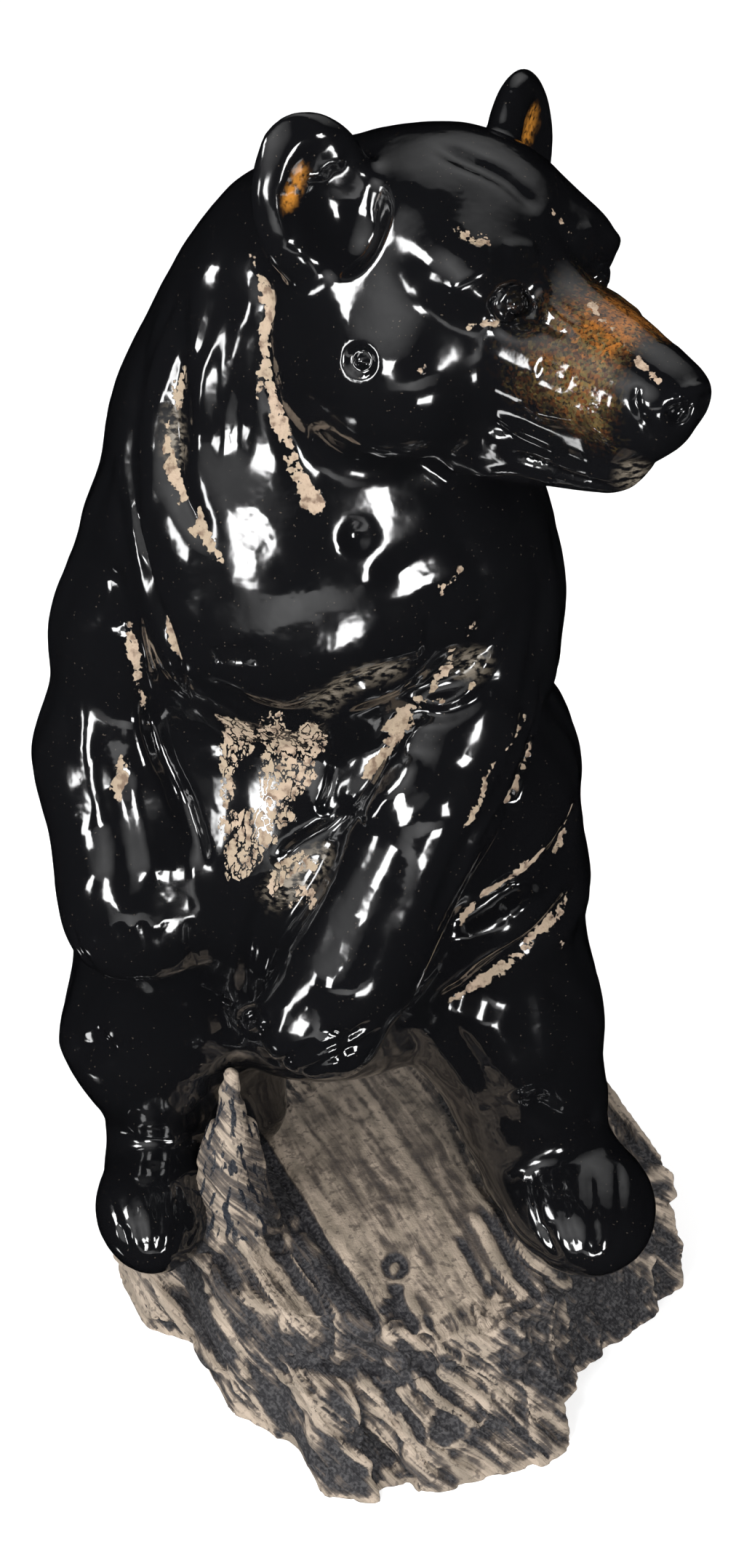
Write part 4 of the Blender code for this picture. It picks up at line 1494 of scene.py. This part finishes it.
    def build(self, finishes: "Finishes") -> bpy.types.Object:
        """Models the rock, marks its raised parts, hollows and grooves for the wash and the painted light and
        shade, and sets it in the frame.

        Args:
            finishes: The finishes to dress it in.

        Returns:
            The finished piece.
        """
        clay = Clay([(True, self.planks() + self.splinter())])
        skin, surface = modelled(clay)
        skin.push(stroke_heights(skin.points, surface, self.strokes()))
        skin.push(self.relief(skin.points))
        skin = thinned(Skin(self.cut_at_table(skin.mesh)), self.triangles)
        points = skin.points
        drawn = stroke_heights(points, Surface(skin.tree()), self.strokes())
        marks = {
            # The raised, cavity and drawn marks let the clay paint light on raised parts and shade in hollows
            # and grooves
            "raised": np.clip(MIDDLE - clay.depth(points) / self.raised_range, 0, 1),
            "cavity": np.clip(MIDDLE + skin.cavity(self.cavity_rounds) / self.cavity_range, 0, 1),
            "drawn": np.clip(MIDDLE + drawn / self.drawn_range, 0, 1),
            "plate": self.plate(points),
            "rubble": self.rubble(points),
            "splinter": smooth_step(*self.splinter_rise, points[:, 2]),
            "lanes": MM * self.lanes(points),
        }
        return set_down(skin, self.name, marks, finishes.bare_clay)

    def cut_at_table(self, mesh: bpy.types.Mesh) -> bpy.types.Mesh:
        """Cuts the rock off flat where it stands on the table.

        Args:
            mesh: The rock, which reaches below the table.

        Returns:
            The same mesh, cut and closed.
        """
        clay = bmesh.new()
        clay.from_mesh(mesh)
        everything = clay.verts[:] + clay.edges[:] + clay.faces[:]
        table = (0, 0, -ROCK_TOP)
        bmesh.ops.bisect_plane(clay, geom=everything, plane_co=table, plane_no=(0, 0, 1), clear_inner=True)
        bmesh.ops.holes_fill(clay, edges=[edge for edge in clay.edges if edge.is_boundary], sides=0)
        bmesh.ops.triangulate(clay, faces=[face for face in clay.faces if len(face.verts) > 4])
        clay.to_mesh(mesh)
        clay.free()
        return mesh


def set_down(
    skin: Skin, name: str, marks: dict[str, np.ndarray], finish: bpy.types.Material
) -> bpy.types.Object:
    """Makes a worked skin into a piece of the figure, in metres and in the frame.

    Args:
        skin: The skin, in millimetres.
        name: The piece's name.
        marks: What the finish needs to know of each vertex, by name.
        finish: Its material.

    Returns:
        The piece.
    """
    skin.move(MM * (skin.points + np.array(STAND)))
    mesh = skin.mesh
    mesh.name = name
    for mark, values in marks.items():
        kind, content = ("FLOAT", "value") if values.ndim == 1 else ("FLOAT_VECTOR", "vector")
        layer = mesh.attributes.new(mark, kind, "POINT")
        layer.data.foreach_set(content, values.astype(np.float32).ravel())
    mesh.materials.clear()
    mesh.materials.append(finish)
    mesh.shade_smooth()
    piece = bpy.data.objects.new(name, mesh)
    bpy.context.scene.collection.objects.link(piece)
    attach(piece, "root")
    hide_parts("bear_on_rock")
    LOG.info("%s: %d faces", name, len(mesh.polygons))
    return piece


class Slot(Enum):
    """The record's material slots."""

    GLAZE = "black_glaze"
    CLAY = "bare_clay"


@dataclass(frozen=True)
class Cloud:
    """A cloudy pattern: a lump's size in all or along each axis, which of many it is, and its layers."""

    size: float | Triple
    seed: float
    detail: float = 2.0


class Value:
    """A number or a colour that a material works out, which takes part in sums as a number does."""

    def __init__(self, shading: "Shading", socket: bpy.types.NodeSocket) -> None:
        """Wraps a socket of one material's nodes."""
        self.shading = shading
        self.socket = socket

    def __add__(self, other: "Value | float") -> "Value":
        """This plus another."""
        return self.shading.maths("ADD", self, other)

    def __sub__(self, other: "Value | float") -> "Value":
        """This less another."""
        return self.shading.maths("SUBTRACT", self, other)

    def __mul__(self, other: "Value | float") -> "Value":
        """This times another."""
        return self.shading.maths("MULTIPLY", self, other)

    def __abs__(self) -> "Value":
        """This without its sign."""
        return self.shading.maths("ABSOLUTE", self)

    def higher(self, other: "Value | float") -> "Value":
        """The higher of this and another."""
        return self.shading.maths("MAXIMUM", self, other)

    def ease(self, span: Span, results: Span = (0.0, 1.0)) -> "Value":
        """Eases from one result to the other.

        Args:
            span: The values that give the first result and the last one.
            results: The two results.

        Returns:
            The eased value.
        """
        inputs = {
            "Value": self,
            "From Min": span[0],
            "From Max": span[1],
            "To Min": results[0],
            "To Max": results[1],
        }
        node = self.shading.add("ShaderNodeMapRange", inputs, interpolation_type="SMOOTHSTEP")
        return Value(self.shading, node.outputs["Result"])


class Shading:
    """The nodes of one material, with every size in millimetres."""

    # How far the pattern of each next seed lies along each axis
    seed_steps: Triple = (170.0, 90.0, 130.0)

    def __init__(self, name: str) -> None:
        """Starts a material with a plain shader."""
        self.material = bpy.data.materials.new(name)
        self.material.use_nodes = True
        self.tree = self.material.node_tree
        self.shader = self.tree.nodes["Principled BSDF"]
        self.place = Value(self, self.add("ShaderNodeTexCoord", {}).outputs["Object"])

    def add(self, kind: str, inputs: dict[str | int, object], **settings: object) -> bpy.types.Node:
        """Adds a node.

        Args:
            kind: Blender's name for its type.
            inputs: What each of its sockets takes: a worked-out value, or a plain one.
            **settings: The node's own settings.

        Returns:
            The node.
        """
        node = self.tree.nodes.new(kind)
        for name, value in settings.items():
            setattr(node, name, value)
        for name, value in inputs.items():
            self.feed(node.inputs[name], value)
        return node

    def feed(self, socket: bpy.types.NodeSocket, value: object) -> None:
        """Links a socket to a worked-out value, or sets it to a plain one; a colour comes without alpha."""
        if isinstance(value, Value):
            self.tree.links.new(value.socket, socket)
        elif isinstance(value, tuple) and socket.type == "RGBA":
            socket.default_value = (*value, 1.0)
        else:
            socket.default_value = value

    def mark(self, name: str, output: str = "Fac") -> Value:
        """One of the marks that the piece keeps for each vertex."""
        return Value(self, self.add("ShaderNodeAttribute", {}, attribute_name=name).outputs[output])

    def spread(self, cloud: Cloud, place: Value | None = None) -> Value:
        """Places counted in lumps of one size.

        Args:
            cloud: The pattern that they are for.
            place: The places in metres, or None for those of the piece itself.

        Returns:
            The places.
        """
        sizes = cloud.size if isinstance(cloud.size, tuple) else (cloud.size, cloud.size, cloud.size)
        inputs = {
            "Vector": place or self.place,
            "Location": tuple(MM * step * cloud.seed for step in self.seed_steps),
            "Scale": tuple(MM * side for side in sizes),
        }
        return Value(self, self.add("ShaderNodeMapping", inputs, vector_type="TEXTURE").outputs["Vector"])

    def noise(self, cloud: Cloud, place: Value | None = None) -> Value:
        """Cloudy noise about a half.

        Args:
            cloud: The pattern.
            place: The places in metres, or None for those of the piece itself.

        Returns:
            The noise, from 0 to 1.
        """
        inputs = {"Vector": self.spread(cloud, place), "Scale": 1.0, "Detail": cloud.detail}
        return Value(self, self.add("ShaderNodeTexNoise", inputs).outputs["Fac"])

    def cells(self, cloud: Cloud, output: str) -> Value:
        """Close-packed cells: the distance to the nearest one's middle, or a colour for each cell."""
        inputs = {"Vector": self.spread(cloud), "Scale": 1.0}
        return Value(self, self.add("ShaderNodeTexVoronoi", inputs).outputs[output])

    def parted(self, colour: Value) -> tuple[Value, Value, Value]:
        """A colour's red, green and blue."""
        outputs = self.add("ShaderNodeSeparateColor", {0: colour}).outputs
        return Value(self, outputs[0]), Value(self, outputs[1]), Value(self, outputs[2])

    def maths(self, operation: str, first: Value, second: Value | float = 0.0) -> Value:
        """One sum of two values."""
        return Value(self, self.add("ShaderNodeMath", {0: first, 1: second}, operation=operation).outputs[0])

    def blend(self, share: Value, first: Value | Colour, second: Value | Colour) -> Value:
        """Blends two colours.

        Args:
            share: How much of the second there is.
            first: The first colour.
            second: The second colour.

        Returns:
            The blended colour.
        """
        node = self.add("ShaderNodeMix", {0: share, 6: first, 7: second}, data_type="RGBA")
        return Value(self, node.outputs[2])

    def relief(self, height: Value, deep: float, under: Value | None = None) -> Value:
        """A bump as deep as is given, over another bump if there is one."""
        inputs = {"Height": height, "Strength": 1.0, "Distance": MM * deep}
        if under is not None:
            inputs["Normal"] = under
        return Value(self, self.add("ShaderNodeBump", inputs).outputs["Normal"])

    def finish(self, **sockets: object) -> bpy.types.Material:
        """Feeds the shader and hands the material over; an underscore is a space in a socket's name."""
        for name, value in sockets.items():
            self.feed(self.shader.inputs[name.replace("_", " ")], value)
        return self.material


@dataclass(frozen=True)
class BlackGlaze:
    """Glossy black glaze that has drawn back from the clay in places, rusty on the muzzle.

    A span is the two values between which something comes in, and depths are in millimetres.
    """

    black: Colour = (0.0035, 0.0036, 0.0042)
    refraction: float = 1.75
    gloss: Span = (0.07, 0.13)
    gloss_cloud: Cloud = Cloud(14.0, 10)
    gloss_span: Span = (0.35, 0.7)
    peel: Cloud = Cloud(4.0, 11, 1.0)
    peel_depth: float = 0.07

    # Where the clay is bare
    ragged: Cloud = Cloud(2.0, 1, 5.0)
    ragged_by: float = 2.0
    wavy: Cloud = Cloud(7.0, 14)
    wavy_middle: float = 0.55
    wavy_by: float = 1.7
    mark_span: Span = (0.05, 0.35)
    torn_span: Span = (0.52, 0.61)
    leaf: Cloud = Cloud((2.4, 2.4, 4.2), 2, 3.0)
    crack_span: Span = (0.030, 0.046)
    leaf_ragged_by: float = 1.1
    leaf_span: Span = (0.50, 0.58)
    glaze_thickness: float = 0.45

    # The bare clay itself
    tan: Colour = (0.28, 0.215, 0.145)
    pink: Colour = (0.35, 0.26, 0.185)
    umber: Colour = (0.10, 0.055, 0.03)
    hue_cloud: Cloud = Cloud(9.0, 3)
    hue_span: Span = (0.36, 0.66)
    stain_cloud: Cloud = Cloud(2.6, 4, 5.0)
    stain_span: Span = (0.48, 0.68)
    stain_share: float = 0.85
    clay_roughness: float = 0.8
    grain: Cloud = Cloud(0.7, 12, 3.0)
    grain_depth: float = 0.35

    # The haze where the glaze is thin, and its dust
    haze: Colour = (0.22, 0.185, 0.14)
    haze_cloud: Cloud = Cloud((3.0, 3.0, 1.6), 8, 5.0)
    haze_span: Span = (0.42, 0.62)
    haze_share: float = 0.85
    haze_dullness: float = 0.6
    ash: Colour = (0.16, 0.13, 0.10)
    dust: Cloud = Cloud(0.8, 9, 1.0)
    dust_span: Span = (0.74, 0.78)
    dust_share: float = 0.35

    # The rust on the muzzle, in specks of one colour each, and the amber in the ears
    olive: Colour = (0.095, 0.070, 0.024)
    brown: Colour = (0.085, 0.032, 0.010)
    khaki: Colour = (0.19, 0.130, 0.052)
    orange: Colour = (0.28, 0.102, 0.020)
    specks: Cloud = Cloud(1.0, 5)
    brown_span: Span = (0.30, 0.70)
    khaki_span: Span = (0.72, 0.95)
    speck_warmth: float = 0.8
    bridge_warmth: float = 0.9
    orange_span: Span = (0.55, 1.35)
    pores: Cloud = Cloud(0.9, 13, 3.0)
    pore_span: Span = (0.54, 0.32)
    pore_share: float = 0.85
    patches: Cloud = Cloud(7.0, 6, 3.0)
    patch_span: Span = (0.3, 0.7)
    patch_shares: Span = (0.85, 1.45)
    speck_fade: float = 0.42
    rust_span: Span = (0.0, 1.2)
    pebble_depth: float = 0.012
    amber: Colour = (0.42, 0.17, 0.025)
    amber_cloud: Cloud = Cloud(1.8, 7, 4.0)
    amber_span: Span = (0.30, 0.60)

    def torn(self, shading: Shading) -> Value:
        """Where the clay is bare: the marks, with ragged edges and small leaves."""
        wavy = (shading.noise(self.wavy) - self.wavy_middle) * self.wavy_by
        ragged = (shading.noise(self.ragged) - MIDDLE) * self.ragged_by + wavy
        bare = shading.mark("bare")
        flaked = shading.mark("flaked")
        torn = (bare + ragged).ease(self.torn_span) * bare.ease(self.mark_span)
        leaves = abs(shading.noise(self.leaf) - MIDDLE).ease(self.crack_span) * flaked.ease(self.mark_span)
        broken = (flaked + ragged * self.leaf_ragged_by).ease(self.leaf_span) * leaves
        return torn.higher(broken)

    def clay(self, shading: Shading) -> Value:
        """The colour of the bare clay."""
        tan = shading.blend(shading.noise(self.hue_cloud).ease(self.hue_span), self.tan, self.pink)
        stain = shading.noise(self.stain_cloud).ease(self.stain_span) * self.stain_share
        return shading.blend(stain, tan, self.umber)

    def rusted(self, shading: Shading) -> Value:
        """The colour of the glaze, black but for the rusty muzzle and the amber in the ears."""
        first, second, third = shading.parted(shading.cells(self.specks, "Color"))
        earth = shading.blend(third.ease(self.brown_span), self.olive, self.brown)
        earth = shading.blend(second.ease(self.khaki_span), earth, self.khaki)
        warmth = first * self.speck_warmth + shading.mark("orange") * self.bridge_warmth
        earth = shading.blend(warmth.ease(self.orange_span), earth, self.orange)
        pores = shading.noise(self.pores).ease(self.pore_span, (0.0, self.pore_share))
        earth = shading.blend(pores, earth, self.black)
        patches = shading.noise(self.patches).ease(self.patch_span, self.patch_shares)
        level = shading.mark("rust") * patches - second * self.speck_fade
        colour = shading.blend(level.ease(self.rust_span), self.black, earth)
        glow = shading.mark("amber") * shading.noise(self.amber_cloud).ease(self.amber_span)
        return shading.blend(glow, colour, self.amber)

    def made(self) -> bpy.types.Material:
        """Makes the material."""
        shading = Shading("black glaze")
        torn = self.torn(shading)
        haze = shading.noise(self.haze_cloud).ease(self.haze_span) * shading.mark("faint")
        dust = shading.noise(self.dust).ease(self.dust_span, (0.0, self.dust_share))
        glaze = shading.blend(dust, self.rusted(shading), self.ash)
        glaze = shading.blend(haze * self.haze_share, glaze, self.haze)
        colour = shading.blend(torn, glaze, self.clay(shading))
        gloss = shading.noise(self.gloss_cloud).ease(self.gloss_span, self.gloss)
        rough = gloss.higher(torn.higher(haze * self.haze_dullness) * self.clay_roughness)
        peel = shading.relief(shading.noise(self.peel), self.peel_depth)
        grain = shading.relief(shading.noise(self.grain) * torn, self.grain_depth, peel)
        pebbles = shading.cells(self.specks, "Distance") * shading.mark("rust")
        pebbled = shading.relief(pebbles, self.pebble_depth, grain)
        edge = shading.relief(torn, -self.glaze_thickness, pebbled)
        return shading.finish(Base_Color=colour, Roughness=rough, Normal=edge, IOR=self.refraction)


@dataclass(frozen=True)
class BareClay:
    """Unglazed tan clay with a dark wash and painted shade in its hollows and grooves, painted light on its
    raised parts, and drips of blue-black glaze on the splinter.

    A span is the two values between which something comes in, and depths are in millimetres.
    """

    light: Colour = (0.37, 0.30, 0.235)
    tan: Colour = (0.225, 0.185, 0.142)
    brown: Colour = (0.085, 0.068, 0.056)
    # Two darks speckled together: the wash, which also stands for painted shade in the hollows and grooves
    smoke_and_shade: Colour = (0.052, 0.050, 0.052)
    wash_and_shade: Colour = (0.014, 0.0135, 0.016)
    blue_black: Colour = (0.011, 0.013, 0.018)
    refraction: float = 1.5

    # What keeps a place clear of the wash and the painted shade, or not: each mark and each pattern by its
    # own strength; raised parts get painted light, and hollows and grooves get painted shade
    raised_light_by: float = 2.0
    cavity_shade_by: float = -1.5
    groove_shade_by: float = 2.8
    plate_by: float = 0.36
    rubble_by: float = -0.45
    stain: Cloud = Cloud((4.5, 12.0, 10.0), 22, 6.0)
    stain_by: float = 1.5
    cloud: Cloud = Cloud(16.0, 29, 4.0)
    cloud_by: float = 1.5
    streak: Cloud = Cloud((1.8, 22.0, 20.0), 21, 4.0)
    streak_by: float = 1.8
    plate_stains: float = 0.42
    brown_span: Span = (-0.30, 0.30)
    wash_and_shade_span: Span = (0.12, 0.58)

    # The clay's own colours, and the dark of its wash and painted shade
    hue: Cloud = Cloud((4.0, 18.0, 14.0), 23, 4.0)
    hue_span: Span = (0.35, 0.65)
    spots: Cloud = Cloud(2.2, 24, 5.0)
    spot_span: Span = (0.56, 0.66)
    spot_share: float = 0.7
    speckle: Cloud = Cloud(1.2, 28, 4.0)
    speckle_span: Span = (0.42, 0.64)
    drips: Cloud = Cloud((2.4, 2.4, 14.0), 25, 4.0)
    drip_span: Span = (0.53, 0.58)
    roughness: Span = (0.72, 0.12)

    # Its fine relief
    grit: Cloud = Cloud(0.9, 26, 4.0)
    grit_depth: float = 0.30
    strips: Cloud = Cloud((1.3, 16.0, 14.0), 27, 5.0)
    strip_depth: float = 1.0
    plate_strips: float = 0.3

    def wash_and_shade_clearness(self, shading: Shading, lanes: Value) -> Value:
        """How clear of the dark wash and the painted shade each place is: raised strips and edges are,
        painted lighter, and hollows and grooves aren't, painted darker as shade.
        """
        stain = (shading.noise(self.stain, lanes) - MIDDLE) * self.stain_by
        cloud = (shading.noise(self.cloud) - MIDDLE) * self.cloud_by
        streak = (shading.noise(self.streak, lanes) - MIDDLE) * self.streak_by
        plate = shading.mark("plate")
        # Painted light on raised parts, and painted shade in hollows and in the drawn grooves
        total = (shading.mark("raised") - MIDDLE) * self.raised_light_by
        total = total + (shading.mark("cavity") - MIDDLE) * self.cavity_shade_by
        total = total + (shading.mark("drawn") - MIDDLE) * self.groove_shade_by
        total = total + (stain + cloud + streak) * plate.ease(WHOLE, (1.0, self.plate_stains))
        return total + plate * self.plate_by + shading.mark("rubble") * self.rubble_by

    def made(self) -> bpy.types.Material:
        """Makes the material."""
        shading = Shading("bare clay")
        lanes = shading.mark("lanes", "Vector")
        clear_of_wash_and_shade = self.wash_and_shade_clearness(shading, lanes)
        clay = shading.blend(shading.noise(self.hue, lanes).ease(self.hue_span), self.tan, self.light)
        spots = shading.noise(self.spots).ease(self.spot_span) * self.spot_share
        clay = shading.blend(spots, clay, self.brown)
        dark = shading.blend(shading.noise(self.speckle).ease(self.speckle_span), self.wash_and_shade, self.smoke_and_shade)
        dark = shading.blend(clear_of_wash_and_shade.ease(self.brown_span), dark, self.brown)
        # Where a place is not clear, the dark wash and painted shade cover the clay
        colour = shading.blend(clear_of_wash_and_shade.ease(self.wash_and_shade_span), dark, clay)
        drips = shading.noise(self.drips).ease(self.drip_span) * shading.mark("splinter")
        colour = shading.blend(drips, colour, self.blue_black)
        rough = drips.ease(WHOLE, self.roughness)
        uneven = shading.mark("plate").ease(WHOLE, (1.0, self.plate_strips))
        grit = shading.relief(shading.noise(self.grit), self.grit_depth)
        split = shading.relief(shading.noise(self.strips, lanes) * uneven, self.strip_depth, grit)
        return shading.finish(Base_Color=colour, Roughness=rough, Normal=split, IOR=self.refraction)


@dataclass(frozen=True)
class Finishes:
    """The two finishes of the figure."""

    glaze: bpy.types.Material
    bare_clay: bpy.types.Material


@dataclass(frozen=True)
class Softbox:
    """A soft lamp by where it stands as seen from the figure, what it lights, and its spread in degrees."""

    name: str
    azimuth: float
    elevation: float
    distance: float
    size: tuple[float, float]
    brightness: float
    mirrored: bool = True
    lights_clay: bool = True
    spread: float = 180.0

    def build(self, aim: Vector) -> bpy.types.Object:
        """Makes the lamp.

        Args:
            aim: The point that it faces.

        Returns:
            The lamp.
        """
        light = bpy.data.lights.new(self.name, "AREA")
        light.shape = "RECTANGLE"
        light.size, light.size_y = self.size
        light.energy = math.pi * self.size[0] * self.size[1] * self.brightness
        light.spread = math.radians(self.spread)
        turn = math.radians(self.azimuth)
        rise = math.radians(self.elevation)
        way = Vector((math.sin(turn) * math.cos(rise), -math.cos(turn) * math.cos(rise), math.sin(rise)))
        lamp = bpy.data.objects.new(self.name, light)
        lamp.location = aim + self.distance * way
        lamp.rotation_euler = way.to_track_quat("Z", "Y").to_euler()
        lamp.visible_camera = False
        lamp.visible_glossy = self.mirrored
        lamp.visible_diffuse = self.lights_clay
        bpy.context.scene.collection.objects.link(lamp)
        return lamp


@dataclass(frozen=True)
class Studio:
    """The plain pale floor, the soft light and the camera."""

    floor_side: float = 60.0
    pale: Colour = (0.90, 0.90, 0.90)
    glow: float = 0.30
    floor_roughness: float = 0.9
    floor_shine: float = 0.1
    sky: Colour = (1.0, 1.0, 1.0)
    sky_strength: float = 0.60
    aim_height: float = 0.25

    def lamps(self) -> tuple[Softbox, ...]:
        """The softboxes round the camera: azimuths in degrees from -Y towards +X, and sizes in metres."""
        return (
            Softbox("left softbox", -31.0, 11.0, 1.6, (0.36, 0.44), 18.0),
            Softbox("right softbox", 27.0, 14.0, 1.6, (0.26, 0.44), 18.0),
            Softbox("side softbox", -82.0, 31.0, 1.6, (0.46, 0.40), 16.0),
            Softbox("cheek softbox", -62.0, 6.0, 1.6, (0.20, 0.46), 14.0, lights_clay=False),
            Softbox("lip card", -83.0, -45.0, 1.0, (0.12, 0.07), 6.0, lights_clay=False),
            Softbox("chest card", 15.0, -15.0, 0.55, (0.14, 0.07), 16.0, lights_clay=False),
            Softbox("low card", -5.0, -4.0, 1.4, (1.6, 0.25), 0.12, lights_clay=False, spread=60.0),
            Softbox("back card", 165.0, 50.0, 1.6, (2.4, 1.6), 0.10, lights_clay=False, spread=75.0),
            Softbox("room card", -45.0, 42.0, 1.9, (2.6, 2.2), 0.14, lights_clay=False, spread=72.0),
            Softbox("clay key", -42.0, 50.0, 1.7, (0.35, 0.35), 34.0, mirrored=False),
            Softbox("front key", 14.0, 40.0, 1.7, (0.35, 0.35), 30.0, mirrored=False),
        )

    def floor(self) -> bpy.types.Object:
        """Makes the plain pale floor."""
        mesh = bpy.data.meshes.new("floor")
        reach = self.floor_side / 2
        corners = [(-reach, -reach, 0), (reach, -reach, 0), (reach, reach, 0), (-reach, reach, 0)]
        mesh.from_pydata(corners, [], [(0, 1, 2, 3)])
        material = bpy.data.materials.new("pale floor")
        material.use_nodes = True
        shader = material.node_tree.nodes["Principled BSDF"]
        shader.inputs["Base Color"].default_value = (*self.pale, 1.0)
        shader.inputs["Emission Color"].default_value = (*self.sky, 1.0)
        shader.inputs["Emission Strength"].default_value = self.glow
        shader.inputs["Roughness"].default_value = self.floor_roughness
        shader.inputs["Specular IOR Level"].default_value = self.floor_shine
        mesh.materials.append(material)
        floor = bpy.data.objects.new("floor", mesh)
        bpy.context.scene.collection.objects.link(floor)
        floor.visible_glossy = False
        return floor

    def build(self) -> None:
        """Makes the floor, the sky's light, the lamps and the camera."""
        self.floor()
        world = bpy.data.worlds.new("studio")
        world.use_nodes = True
        background = world.node_tree.nodes["Background"]
        background.inputs["Color"].default_value = (*self.sky, 1.0)
        background.inputs["Strength"].default_value = self.sky_strength
        bpy.context.scene.world = world
        world.cycles_visibility.glossy = False
        bpy.context.scene.view_settings.view_transform = "Standard"
        aim = Vector((0, 0, self.aim_height))
        for softbox in self.lamps():
            softbox.build(aim)
        PHOTO.camera()


def main() -> None:
    """Builds the studio and both pieces, in order."""
    logging.basicConfig(level=logging.INFO, format="%(message)s")
    Studio().build()
    finishes = Finishes(glaze=BlackGlaze().made(), bare_clay=BareClay().made())
    Bear().build(finishes)
    Rock().build(finishes)


if __name__ == "__main__":
    main()
